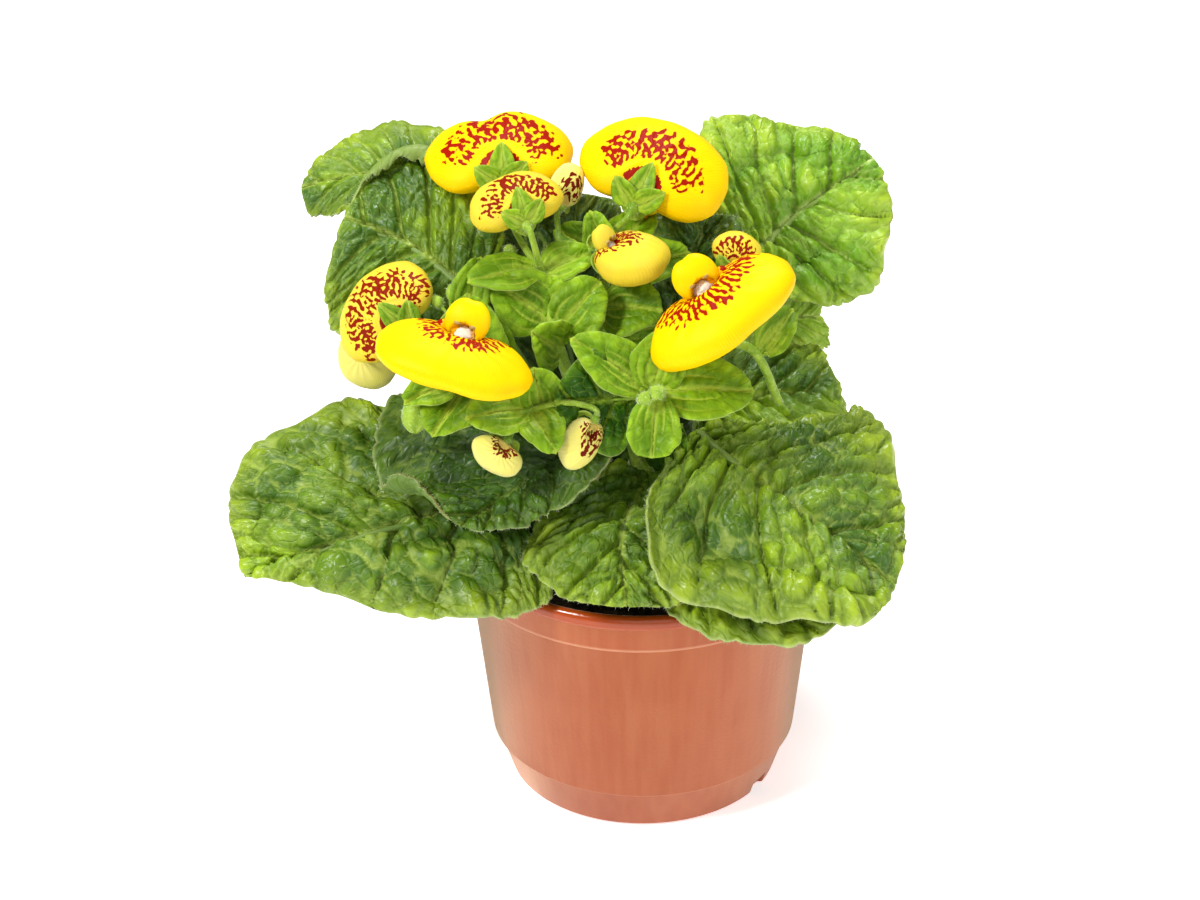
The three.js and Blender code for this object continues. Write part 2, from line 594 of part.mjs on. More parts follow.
// A flowering stem with its leaves, buds and the calyx of each bloom it holds.
function floweringStem(stem, gap = 0) {
  const parts = [];
  const along = [];
  for (const [radius, run] of stem.stalks) {
    const steps = run.length + (radius > 1.4 ? 1 : 0);
    parts.push(tube(run, radius, gap, steps));
    const bends = new THREE.CatmullRomCurve3(run.map(vec)).getSpacedPoints(steps);
    for (let k = 0; k < steps; k++)
      for (let f = 0; f < 1; f += 0.1) along.push(bends[k].clone().lerp(bends[k + 1], f));
  }
  const nearest = (p) =>
    along.reduce((a, b) => (b.distanceTo(p) < a.distanceTo(p) ? b : a));
  for (const leaf of stem.leaves)
    parts.push(blade(ovate({ ...leaf, from: nearest(vec(leaf.from)).toArray() }), gap));
  for (const [at, radius] of stem.buds) {
    parts.push(ball(at, radius, gap));
    parts.push(tube([nearest(vec(at)).toArray(), at], 0.7, gap, 1));
  }
  for (const [name, way] of Object.entries(stem.holds)) {
    const flower = BLOOMS[name];
    const frame = bloomFrame(flower);
    const size = Math.min(10, 4 + flower.width * 0.13);
    const local = (x, y, z) => new THREE.Vector3(x, y, z).applyMatrix4(frame).toArray();
    const out = (x, y, z) => new THREE.Vector3(x, y, z).transformDirection(frame).toArray();
    const back = flower.mouth === -1 ? 1 : -1;
    const bulb = 0.24 * size;
    parts.push(ball(local(0, -0.8 * bulb, 0), bulb, gap, 5));
    parts.push(tube([...way, local(0, -2.6 * bulb, back), local(0, -0.8 * bulb, 0)], 1.1, gap, way.length + 1));
    const sepals = [[0, -0.05, back], [0.65, -0.35, 0.7 * back], [-0.65, -0.35, 0.7 * back]];
    for (const [x, y, z] of sepals.slice(flower.hood === 0 ? 1 : 0))
      parts.push(
        blade(
          ovate({
            from: local(0, -bulb, 0), to: local(x * size, y * size, z * size), up: out(-0.2 * x, 1, 0.2 * z),
            width: 0.62 * size, arc: 0.6, cup: 0.5, rows: 2, cols: 1, thick: SEPAL, pleat: 0, wave: 0, arch: 0,
          }),
          gap,
        ),
      );
  }
  return wasm.Manifold.union(parts);
}

// Every node: what it is made by, and its colour, roughness and metalness.
const TERRACOTTA = { color: 0xc8704d, roughness: 0.5, metalness: 0 };
const PEAT = { color: 0x2a1c14, roughness: 1, metalness: 0 };
const LEAF = { color: 0x4f7f24, roughness: 0.55, metalness: 0 };
const STEM_GREEN = { color: 0x86ac3c, roughness: 0.6, metalness: 0 };
const YELLOW = { color: 0xfff014, roughness: 0.5, metalness: 0 };
const CREAM = { color: 0xf4ee7e, roughness: 0.55, metalness: 0 };

const nodes = [["pot", () => pot(), TERRACOTTA]];
for (const [name, flower] of Object.entries(BLOOMS)) {
  nodes.push([name, (gap) => bloom(flower, gap), flower.ripe ? YELLOW : CREAM]);
}
for (const [name, stem] of Object.entries(STEMS))
  nodes.push([name, (gap) => floweringStem(stem, gap), STEM_GREEN]);
for (const [name, leaf] of Object.entries(ROSETTE))
  nodes.push([name, (gap) => rosetteLeaf(leaf, gap), LEAF]);
nodes.push(["soil", () => soil(), PEAT]);

// Each piece in turn is trimmed back by the gap from the pieces before it that it would touch.
const root = new THREE.Group();
const placed = [];
for (const [name, build, look] of nodes) {
  let shape = build(0);
  for (const other of placed) {
    const common = shape.intersect(other.grown).volume();
    if (common > 0) shape = shape.subtract(other.grown);
  }
  shape = largest(shape);
  placed.push({ grown: name === "pot" ? shape : build(CLEAR) });
  const { vertProperties, triVerts } = shape.getMesh();
  const g = new THREE.BufferGeometry();
  g.setAttribute("position", new THREE.BufferAttribute(new Float32Array(vertProperties), 3));
  g.setIndex(new THREE.BufferAttribute(new Uint32Array(triVerts), 1));
  g.computeVertexNormals();
  const mesh = new THREE.Mesh(g, new THREE.MeshStandardMaterial(look));
  mesh.name = name;
  root.add(mesh);
}

export default root;
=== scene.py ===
import math
import random

import bmesh
import bpy
import numpy as np
from mathutils import Matrix, Vector, noise


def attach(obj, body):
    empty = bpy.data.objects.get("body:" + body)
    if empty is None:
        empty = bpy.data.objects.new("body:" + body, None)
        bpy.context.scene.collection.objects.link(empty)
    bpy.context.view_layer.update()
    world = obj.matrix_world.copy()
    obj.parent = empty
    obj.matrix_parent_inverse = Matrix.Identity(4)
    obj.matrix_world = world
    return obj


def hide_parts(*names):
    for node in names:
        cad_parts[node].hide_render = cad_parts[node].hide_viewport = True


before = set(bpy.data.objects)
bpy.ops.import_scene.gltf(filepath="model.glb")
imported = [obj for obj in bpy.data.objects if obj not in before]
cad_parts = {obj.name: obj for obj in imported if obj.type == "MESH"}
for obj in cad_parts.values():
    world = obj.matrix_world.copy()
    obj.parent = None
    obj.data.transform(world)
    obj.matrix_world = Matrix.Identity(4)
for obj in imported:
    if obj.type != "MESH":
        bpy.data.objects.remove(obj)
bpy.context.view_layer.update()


# ---------------------------------------------------------------------------------------- the stage
# A white table that runs on behind the plant, lit by large soft lamps from both sides and above.
# The camera stands a little over the leaves, 0.8 m in front of the pot.
SENSOR_WIDTH, LENS = 36, 82.74
EYE = (0, -0.8, 0.544)
PITCH, YAW, ROLL = (math.radians(angle) for angle in (28.06, -0.98, -0.79))
LAMPS = {  # place, what it points at, width in metres, watts
    "lamp_left": ((-0.75, -0.55, 0.95), (0, 0, 0.14), 0.32, 11.5),
    "lamp_right": ((0.95, -0.6, 0.6), (0, 0, 0.1), 0.6, 3.4),
    "lamp_top": ((0.05, 0.35, 1.2), (0, 0, 0.15), 0.4, 9.5),
    "lamp_front": ((0.1, -1.3, 0.75), (0, 0, 0.1), 1.0, 2.2),
}
SKY_STRENGTH = 0.27
TABLE_REACH, TABLE_DROP = 6, 0.0004
WHITE = (1, 1, 1, 1)
show = bpy.context.scene.collection.objects.link

camera = bpy.data.objects.new("camera", bpy.data.cameras.new("camera"))
camera.data.sensor_width = SENSOR_WIDTH
camera.data.lens = LENS
gaze = Vector((math.sin(YAW) * math.cos(PITCH), math.cos(YAW) * math.cos(PITCH), -math.sin(PITCH)))
across = Vector((math.cos(YAW), -math.sin(YAW), 0))
above = across.cross(gaze)
level = across * math.cos(ROLL) + above * math.sin(ROLL)
raised = above * math.cos(ROLL) - across * math.sin(ROLL)
camera.matrix_world = Matrix.Translation(EYE) @ Matrix((level, raised, -gaze)).transposed().to_4x4()
show(camera)
bpy.context.scene.camera = camera

for name, (place, target, width, watts) in LAMPS.items():
    lamp = bpy.data.lights.new(name, "AREA")
    lamp.shape = "DISK"
    lamp.size = width
    lamp.energy = watts
    held = bpy.data.objects.new(name, lamp)
    held.location = place
    held.rotation_euler = (Vector(target) - Vector(place)).to_track_quat("-Z", "Y").to_euler()
    show(held)

sky = bpy.data.worlds.new("studio")
sky.use_nodes = True
sky.node_tree.nodes["Background"].inputs["Color"].default_value = WHITE
sky.node_tree.nodes["Background"].inputs["Strength"].default_value = SKY_STRENGTH
bpy.context.scene.world = sky
bpy.context.scene.view_settings.view_transform = "Standard"


def as_mesh(name, bm):
    """The shape as a mesh of its own."""
    mesh = bpy.data.meshes.new(name)
    bm.to_mesh(mesh)
    bm.free()
    return mesh


def finish(name, **sockets):
    """A material with its own shader, the even properties set on the shader's sockets."""
    made = bpy.data.materials.new(name)
    made.use_nodes = True
    shader = made.node_tree.nodes["Principled BSDF"]
    for socket, value in sockets.items():
        shader.inputs[socket.replace("_", " ")].default_value = value
    return made


bm = bmesh.new()
bmesh.ops.create_grid(bm, x_segments=2, y_segments=2, size=TABLE_REACH)
bmesh.ops.translate(bm, verts=bm.verts, vec=(0, 2, -TABLE_DROP))
table = bpy.data.objects.new("table", as_mesh("table", bm))
show(table)
paint = finish(
    "table_white", Base_Color=(0.93, 0.93, 0.93, 1), Roughness=0.8, Specular_IOR_Level=0.2,
    Emission_Color=WHITE, Emission_Strength=0.55,
)
table.data.materials.append(paint)


# ------------------------------------------------------------------------------------------ the pot
# A 12 cm nursery pot, moulded in terracotta-coloured polypropylene 1.3 mm thick. The foot band,
# the step, the tapered wall, the collar and the rolled lip are one skin turned about the pot's axis.
MM = 0.001
POT_WALL = [  # radius and height from the middle of the floor, out and up, over the lip, and down inside
    (0, 0), (30, 0), (45.0, 0), (45.8, 0.5), (50.5, 14.9), (51.3, 15.3), (51.8, 15.9), (58.2, 75.6),
    (58.9, 76.0), (59.4, 76.7), (59.7, 84.4), (60.3, 84.9), (60.9, 85.9), (61.0, 87.3), (60.6, 88.6),
    (59.7, 89.4), (58.9, 89.6), (58.1, 89.2), (57.6, 88.0), (56.9, 76.5), (50.4, 15.8), (43.8, 2),
    (28, 2), (0, 2),
]
POT_TURNS = 144
POT_HOLES = [(60 * k + 30, 37.7, 1, (5, 9, 6)) for k in range(6)]  # drain slots: bearing, reach, height, size
POT_HOLES += [(bearing, 47.3, 2, (7, 8, 6)) for bearing in (-33, 147)]  # notches in the foot's corner
HOLE_CORNER = 1.2
FOOT_TOP = 15.1
WELD = 1e-6
TERRACOTTA, FLOW_STREAK, PALE_CLOUD, DARK_SPECK = "#a64a0f", "#ae5826", "#bb6a36", "#8f4227"
PAINTED_COLLAR_HIGHLIGHT, LIP_ORANGE, DUST = "#d99a74", "#a9430f", "#ffdcb8"


def shade(code):
    """A colour's linear values from its web code."""
    parts = [int(code[k : k + 2], 16) / 255 for k in (1, 3, 5)]
    return tuple(c / 12.92 if c < 0.04045 else ((c + 0.055) / 1.055) ** 2.4 for c in parts) + (1,)


def step(made, kind, sockets, **settings):
    """One node of a finish: its settings, and for each socket a value or another node's output."""
    node = made.node_tree.nodes.new("ShaderNode" + kind)
    for setting, value in settings.items():
        setattr(node, setting, value)
    for socket, value in sockets.items():
        if isinstance(value, bpy.types.NodeSocket):
            made.node_tree.links.new(value, node.inputs[socket])
        else:
            node.inputs[socket].default_value = value
    return node.outputs


def grain_of(made):
    """Places on the piece, in metres, for a finish to vary over."""
    return step(made, "TexCoord", {})["Object"]


def clouds(made, at, scale, detail=2.0, out="Fac", **sockets):
    """Soft noise over the places at."""
    return step(made, "TexNoise", {"Vector": at, "Scale": scale, "Detail": detail, **sockets})[out]


def cell_map(made, at, scale, out="Distance", **settings):
    """Cells over the places at."""
    return step(made, "TexVoronoi", {"Vector": at, "Scale": scale}, **settings)[out]


def work_out(made, operation, *terms):
    """Numbers or outputs put together by one operation."""
    return step(made, "Math", dict(enumerate(terms)), operation=operation)["Value"]


def band(made, value, low, high, to_low=0.0, to_high=1.0):
    """The value's rise from low to high, smoothed, as a range of its own."""
    sockets = {"Value": value, "From Min": low, "From Max": high, "To Min": to_low, "To Max": to_high}
    return step(made, "MapRange", sockets, interpolation_type="SMOOTHSTEP")["Result"]


def blend(made, amount, low, high):
    """Low where the amount is 0, high where it is 1; each is a web code or another node's colour."""
    low, high = (shade(colour) if isinstance(colour, str) else colour for colour in (low, high))
    return step(made, "Mix", {0: amount, 6: low, 7: high}, data_type="RGBA")[2]


def stains(made, skin, *layers):
    """Colours laid over the skin in turn: a value, where it starts, where it ends, how much, which."""
    for value, start, end, most, colour in layers:
        skin = blend(made, band(made, value, start, end, 0.0, most), skin, colour)
    return skin


def coat(made, colour, roughness=None, height=None, depth=0.0):
    """The finish's colour, its roughness, and its relief of a given depth in metres."""
    shader = made.node_tree.nodes["Principled BSDF"]
    made.node_tree.links.new(colour, shader.inputs["Base Color"])
    if roughness is not None:
        made.node_tree.links.new(roughness, shader.inputs["Roughness"])
    if height is not None:
        relief = step(made, "Bump", {"Strength": 1.0, "Distance": depth, "Height": height})
        made.node_tree.links.new(relief["Normal"], shader.inputs["Normal"])


def turned(profile, turns):
    """A profile of radii and heights, spun about the pot's axis."""
    bm = bmesh.new()
    line = [bm.verts.new((r * MM, 0, z * MM)) for r, z in profile]
    edges = [bm.edges.new(pair) for pair in zip(line, line[1:])]
    bmesh.ops.spin(
        bm, geom=line + edges, cent=(0, 0, 0), axis=(0, 0, 1), angle=2 * math.pi, steps=turns, use_merge=True
    )
    bmesh.ops.remove_doubles(bm, verts=bm.verts, dist=WELD)
    return bm


def piece(name, bm, finishes, slot, *nodes):
    """A finished piece of the plant or its pot: smooth, in place, and standing for its nodes."""
    mesh = as_mesh(name, bm)
    mesh.shade_smooth()
    for made in finishes:
        mesh.materials.append(made)
    body = bpy.data.objects.new(name, mesh)
    show(body)
    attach(body, "root")
    if nodes:
        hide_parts(*nodes)


def moulded(name, dust):
    """Matt terracotta plastic with flow streaks, clouds and specks, a painted highlight line along the collar's
    edge, a bright lip, and a bloom of dust.
    """
    plastic = finish(name, IOR=1.5, Sheen_Weight=dust, Sheen_Roughness=0.24, Sheen_Tint=shade(DUST))
    grain = grain_of(plastic)
    height = step(plastic, "SeparateXYZ", {"Vector": grain})["Z"]
    stretched = step(plastic, "Mapping", {"Vector": grain, "Scale": (260, 260, 9)})["Vector"]
    streaks = clouds(plastic, stretched, 1.0, 3.0)
    skin = stains(
        plastic, TERRACOTTA, (streaks, 0.3, 0.72, 1.0, FLOW_STREAK),
        (clouds(plastic, grain, 34.0, 4.0), 0.42, 0.74, 0.3, PALE_CLOUD),
        (cell_map(plastic, grain, 420.0), 0.11, 0.05, 0.3, DARK_SPECK),
    )
    # A pale line painted along the collar's lower edge: a painted highlight where the edge catches the light.
    edges = [band(plastic, height, z, z + 0.0006, 0.0, 0.5) for z in (0.0756, 0.0768)]
    skin = blend(plastic, work_out(plastic, "SUBTRACT", *edges), skin, PAINTED_COLLAR_HIGHLIGHT)
    lip = band(plastic, height, 0.0842, 0.0853)
    matt = work_out(plastic, "ADD", streaks, clouds(plastic, grain, 900.0))
    gloss = band(plastic, lip, 0.0, 1.0, 0.45, 0.16)
    coat(plastic, blend(plastic, lip, skin, LIP_ORANGE), gloss, matt, 0.00006)
    return plastic


bm = turned(POT_WALL, POT_TURNS)
bmesh.ops.recalc_face_normals(bm, faces=bm.faces)
bmesh.ops.triangulate(bm, faces=[f for f in bm.faces if len(f.verts) > 4])
cutters = bmesh.new()
for bearing, reach, high, size in POT_HOLES:
    turn = Matrix.Rotation(math.radians(bearing), 4, "Z")
    block = Matrix.Diagonal([side * MM for side in size] + [1])
    bmesh.ops.create_cube(cutters, size=1, matrix=turn @ Matrix.Translation((reach * MM, 0, high * MM)) @ block)
upright = [e for e in cutters.edges if abs(e.verts[0].co.z - e.verts[1].co.z) > 1 * MM]
bmesh.ops.bevel(
    cutters, geom=upright, offset=HOLE_CORNER * MM, segments=4, profile=0.5, affect="EDGES", material=-1,
    clamp_overlap=True,
)
knife = bpy.data.objects.new("pot_cutters", as_mesh("pot_cutters", cutters))
blank = bpy.data.objects.new("pot_skin", as_mesh("pot_skin", bm))
show(knife)
show(blank)
cut = blank.modifiers.new("slots", "BOOLEAN")
cut.operation = "DIFFERENCE"
cut.solver = "EXACT"
cut.object = knife
bm = bmesh.new()
bm.from_object(blank, bpy.context.evaluated_depsgraph_get())
bpy.data.objects.remove(blank)
bpy.data.objects.remove(knife)
for face in bm.faces:
    face.material_index = int(face.calc_center_median().z < FOOT_TOP * MM)
piece("moulded_pot", bm, [moulded("moulded_terracotta", 1.0), moulded("moulded_foot", 0.3)], "pot", "pot")


# ----------------------------------------------------------------------------------------- the soil
# Dark peat, pressed in to a centimetre under the lip and heaped a little round the stalks. Loose
# crumbs lie on it, and pale fibres show in it.
SOIL_PLUG = [  # radius and height
    (0, 2.4), (42, 2.4), (49.4, 15.8), (55.9, 76.2), (55.6, 78.6), (54, 79.2), (42, 80), (24, 80.4), (0, 81),
]
SOIL_TURNS = 72
CRUMBS = 620
CRUMB_SIZES = (0.5, 0.6, 0.8, 1.1, 1.5)
PEAT_DEEP, PEAT, PEAT_FIBRE = "#150d08", "#3e2a1b", "#6b4a2f"


def join(bm, part, number=0):
    """Adds a part to the piece, in the piece's finish of that number."""
    for face in part.faces:
        face.material_index = number
    bm.from_mesh(as_mesh("part", part))


def stack(bm, mould, places, number=0):
    """Copies of one small shape, each set by its own matrix."""
    pile = bmesh.new()
    for _ in places:
        pile.from_mesh(mould)
    shape = np.array([list(v.co) + [1] for v in mould.vertices])
    spots = np.concatenate([(shape @ np.array(place).T)[:, :3] for place in places])
    for vert, co in zip(pile.verts, spots):
        vert.co = co
    join(bm, pile, number)


bm = turned(SOIL_PLUG, SOIL_TURNS)
top = [e for e in bm.edges if min(v.co.z for v in e.verts) > 77 * MM]
bmesh.ops.subdivide_edges(bm, edges=top, cuts=3, use_grid_fill=True)
for v in bm.verts:
    if v.co.z > 78 * MM:
        lump = noise.fractal(v.co * 160, 0.9, 2.1, 5) + 0.6 * noise.noise(v.co * 60)
        v.co.z += 1.3 * MM * lump
bmesh.ops.recalc_face_normals(bm, faces=bm.faces)
crumb = bmesh.new()
bmesh.ops.create_icosphere(crumb, subdivisions=1, radius=1)
for v in crumb.verts:
    v.co *= 1 + 0.35 * noise.noise(v.co * 1.7)
mould = as_mesh("crumb", crumb)
scatter = random.Random(11)
places = []
for _ in range(CRUMBS):
    reach, bearing = 53.5 * math.sqrt(scatter.random()), scatter.uniform(0, 2 * math.pi)
    size = scatter.choice(CRUMB_SIZES)
    high = 80.6 - 1.2 * (reach / 53) ** 2 + scatter.uniform(-0.3, 0.5)
    spot = Matrix.Translation(Vector((reach * math.cos(bearing), reach * math.sin(bearing), high)) * MM)
    spin = Matrix.Rotation(scatter.uniform(0, 6), 4, Vector((scatter.random(), scatter.random(), 1)))
    shape = Matrix.Diagonal((size * MM, size * scatter.uniform(0.5, 1) * MM, size * 0.7 * MM, 1))
    places.append(spot @ spin @ shape)
stack(bm, mould, places)

peat = finish("damp_peat", Specular_IOR_Level=0.25)
grain = grain_of(peat)
lumps = clouds(peat, grain, 420.0, 6.0, Roughness=0.7)
fibres = cell_map(peat, grain, 260.0)
tone = stains(peat, PEAT_DEEP, (lumps, 0.35, 0.7, 1.0, PEAT), (fibres, 0.16, 0.06, 0.55, PEAT_FIBRE))
coat(peat, tone, band(peat, lumps, 0.3, 0.7, 0.95, 0.75), lumps, 0.0012)
piece("peat_plug", bm, [peat], "soil", "soil")


# ---------------------------------------------------------------------------------- rosette leaves
# Broad quilted leaves on fleshy stalks. The veins are sunk and pale, the skin between them bulges
# and shines softly, and the margin is finely scalloped. Each leaf is one blade with its stalk.
FLARE = 2
BLADE_THICKNESS = 0.8
ROSETTE = dict(  # root in the soil, and the points of each midrib and margin from stalk to tip
    leaf_front_left=dict(
        root=(-13, -7), rib=[(-33, -18, 109), (-80, -43, 114), (-125, -57, 104)],
        left=[(-29, -51, 95), (-37, -57, 93), (-55, -63, 93.5), (-80, -64, 97.5), (-107, -61, 104)],
        right=[
            (-69, -8, 127), (-81, -5, 133.5), (-96, -4, 136), (-118, -15, 130), (-129, -30, 124),
            (-129, -42, 115),
        ],
        arch=3, wave=1.2, folds=[("left", 0.24, 0.08, 0.66, 4.4), ("right", 0.6, 0.3, 0.9, 1.2)], quilt=1.6,
        cell=7.6,
    ),
    leaf_front_left_inner=dict(
        root=(-8, -11), rib=[(-16, -18, 125), (-38, -46, 129), (-56, -65, 126)],
        left=[(-12, -30, 136), (-13, -42, 135), (-25, -55, 128), (-35, -60, 126), (-47, -65, 125)],
        right=[
            (-65, -10, 142), (-80, -12, 142), (-83, -28, 136), (-80, -44, 127), (-73, -52, 131),
            (-65, -60, 131),
        ],
        arch=2.5, wave=1, folds=[("right", 0.5, 0.1, 0.6, 1.6)], curls=[("right", 0.86, 0.55, 1.0, 1.1)],
        quilt=1.0, cell=6.0,
    ),
    leaf_front=dict(
        root=(-1, -13), rib=[(3, -21, 118), (-6, -50, 116), (-5, -72, 101)],
        left=[(14, -22, 123), (25, -33, 115), (21, -51, 102), (8, -64, 98)],
        right=[
            (-9, -22, 123), (-24, -35, 118), (-34, -52, 112), (-34, -58, 110), (-27, -66, 104), (-18, -70, 102),
        ],
        arch=2.5, wave=1,
    ),
    leaf_front_right=dict(
        root=(9, -9), rib=[(18, -13, 131), (44, -42, 123), (79, -59, 100)],
        left=[(30, -14, 133), (51, -8, 130), (68, -4, 132), (76, -8, 131), (80, -24, 122), (81.5, -38, 110.5)],
        right=[(5, -42, 129), (2, -60, 121), (10, -72, 108), (31, -78, 104), (48, -78, 101), (67, -75, 97)],
        arch=3, wave=1.2, folds=[("right", 0.6, 0.2, 0.98, 2.4)], curls=[("right", 0.88, 0.1, 0.45, 0.8)],
        quilt=1.6, cell=7.4,
    ),
    leaf_front_right_lower=dict(
        root=(13, -5), rib=[(22, -22, 98), (46, -50, 97), (80, -50, 98)],
        left=[(38, -22, 116), (64, -14, 116), (78, -24, 110), (82, -38, 104)],
        right=[(7, -55, 96), (15, -66, 91), (29, -72, 90), (46, -71, 90), (61, -66, 92), (72, -58, 94)],
        arch=2, wave=1,
    ),
    leaf_right=dict(
        root=(11, 2), rib=[(18, -2, 122), (42, 8, 134), (67, 12, 126)],
        left=[(28, 14, 149), (37, 24, 148), (50, 28, 140), (57, 26, 141), (61, 21, 137)],
        right=[(27, -8, 127), (40, -10, 125), (54, -6, 125), (65, 3, 126)],
        arch=2, wave=1,
    ),
    leaf_right_small=dict(
        root=(14, 9), rib=[(40, 34, 147), (51, 36, 148), (60, 36, 149)],
        left=[(43, 39, 152), (49, 42, 157), (55, 42, 158), (60, 40, 155)],
        right=[(46, 34, 142), (54, 33, 138), (60, 34, 140), (62, 35, 144)],
        arch=1.2, wave=0.6, quilt=0.5, lanes=5,
    ),
    leaf_back_right=dict(
        root=(8, 13), rib=[(35, 34, 171), (53, 46, 183), (78, 58, 196)],
        left=[(22, 44, 187), (21, 54, 201), (25, 62, 208.5), (38, 66, 206), (52, 66, 204.5), (66, 64, 201)],
        right=[(43, 30, 160), (53, 32, 157), (66, 34, 155.5), (75, 34, 161.5), (80, 40, 172), (82, 50, 185)],
        arch=3, wave=1.2, folds=[("right", 0.45, 0.15, 0.7, 1.6), ("left", 0.5, 0.2, 0.8, 1.4)],
        clefts=[("left", 0.93, 0.035, 4.0)], quilt=1.5, cell=7.4,
    ),
    leaf_back_left=dict(
        root=(-9, 10), rib=[(-68, 36, 190), (-88, 44, 197), (-112, 44, 193)],
        left=[(-72, 30, 184), (-84, 32, 187), (-93, 34, 190), (-102, 36, 188), (-108, 39, 186)],
        right=[(-65, 56, 206), (-77, 61, 206), (-88, 60, 207.5), (-98, 56, 203), (-106, 50, 199)],
        arch=2, wave=1, quilt=0.6, cell=7.0,
    ),
    leaf_left_upright=dict(
        root=(-13, 3), rib=[(-52, 2, 172), (-73, 16, 184), (-96, 24, 191)],
        left=[(-65, 4, 158), (-80, 6, 155), (-95, 7, 158), (-100, 8, 164), (-101, 10, 173)],
        right=[(-45, 18, 185), (-53, 34, 199), (-62, 42, 204), (-74, 44, 207), (-87, 37, 201)],
        arch=2.5, wave=1, curls=[("right", 0.84, 0.3, 1.0, 2.0)], quilt=0.9, cell=5.4,
    ),
    leaf_centre_upright=dict(
        root=(-4, 9), rib=[(-14, 7, 98), (-24, 16, 155), (-20, 30, 196)],
        left=[(-32, 8, 114), (-47, 10, 138), (-54, 15, 160), (-46, 26, 184), (-36, 31, 194)],
        right=[(-5, 11, 110), (-6, 14, 137), (-4, 20, 160), (-2, 27, 180), (-9, 31, 191)],
        arch=2.5, wave=1,
    ),
    leaf_centre_right_upright=dict(
        root=(4, 11), rib=[(7, 12, 98), (14, 15, 160), (22, 24, 191)],
        left=[(0, 14, 112), (0, 17, 145), (1, 19, 163), (2, 24.5, 180), (8, 27.5, 191)],
        right=[(14, 12, 112), (19, 12, 138), (31, 15, 159), (33, 19, 174), (30, 23, 188)],
        arch=2, wave=1,
    ),
    leaf_back_centre=dict(
        root=(-2, 15), rib=[(-8, 24, 108), (-22, 54, 126), (-34, 90, 118)],
        left=[(-26, 28, 114), (-48, 42, 124), (-58, 62, 122), (-50, 82, 116)],
        right=[(6, 32, 116), (12, 50, 126), (6, 70, 124), (-12, 88, 118)],
        arch=2.5, wave=2,
    ),
    leaf_back_right_lower=dict(
        root=(6, 5), rib=[(20, 18, 100), (38, 44, 110), (56, 78, 102)],
        left=[(18, 36, 104), (20, 56, 109), (28, 76, 106), (42, 86, 102)],
        right=[(38, 14, 102), (58, 22, 106), (70, 42, 105), (68, 64, 102)],
        arch=2, wave=2,
    ),
    leaf_back_left_lower=dict(
        root=(-7, 4), rib=[(-24, 12, 97), (-46, 28, 107), (-74, 46, 100)],
        left=[(-34, 2, 97), (-54, 4, 102), (-72, 16, 103), (-80, 32, 100)],
        right=[(-28, 28, 100), (-38, 46, 105), (-52, 62, 104), (-66, 60, 100)],
        arch=2, wave=2,
    ),
)
# Leaves whose finish has painted shade (darker greens) or painted light (lighter, yellower greens).
SHADED = ("leaf_front_left_inner", "leaf_centre_upright", "leaf_centre_right_upright")
SUNLIT = ("leaf_back_right", "leaf_right_small")
LARGE = (
    "leaf_front_left", "leaf_front_left_inner", "leaf_front", "leaf_front_right", "leaf_front_right_lower",
    "leaf_back_right", "leaf_left_upright",
)
LARGE_GRID, SMALL_GRID = (132, 72), (92, 48)  # rows from stalk to tip, and columns across
LEAF_MARKS = ("vein", "margin", "bulge", "upper")
RIM_BROWN, MARGIN_PALE = "#a3874a", "#c3d087"
QUILT_SEED = 7  # without it the vector noise, and so the quilting, differs from run to run
MARGIN_HAIRS = 420
HAIR_ROOT, HAIR_LENGTHS = 0.045, (0.5, 1.1)


def through(points, t, even=True):
    """Points and directions at t, from 0 to 1, of the smooth curve through the given points."""
    p = np.array(points, float)
    p = np.vstack([2 * p[0] - p[1], p, 2 * p[-1] - p[-2]])
    last = len(p) - 3
    place = np.clip(np.asarray(t, float), 0, 1) * last
    k = np.minimum(place.astype(int), last - 1)
    u = (place - k)[:, None]
    a, b, c, d = p[k], p[k + 1], p[k + 2], p[k + 3]
    if even:
        start, end = (c - a) / 2, (d - b) / 2
    else:
        spans = (np.linalg.norm(x - y, axis=1)[:, None] for x, y in ((a, b), (b, c), (c, d)))
        ab, bc, cd = (np.maximum(span, 1e-4) ** 0.5 for span in spans)
        start = ((b - a) / ab - (c - a) / (ab + bc) + (c - b) / bc) * bc
        end = ((c - b) / bc - (d - b) / (bc + cd) + (d - c) / cd) * bc
    e, f = -3 * b + 3 * c - 2 * start - end, 2 * b - 2 * c + start + end
    run = start + 2 * e * u + 3 * f * u * u
    return b + start * u + e * u**2 + f * u**3, run / np.linalg.norm(run, axis=1)[:, None]


def unit(v):
    """The direction of each vector."""
    return v / np.maximum(np.linalg.norm(v, axis=-1, keepdims=True), 1e-9)


def hump(x, width):
    """1 at 0, falling softly to either side."""
    return np.exp(-((x / width) ** 2))


def ramp(x, low, high):
    """0 below low, 1 above high, straight between."""
    return np.clip((x - low) / (high - low), 0, 1)


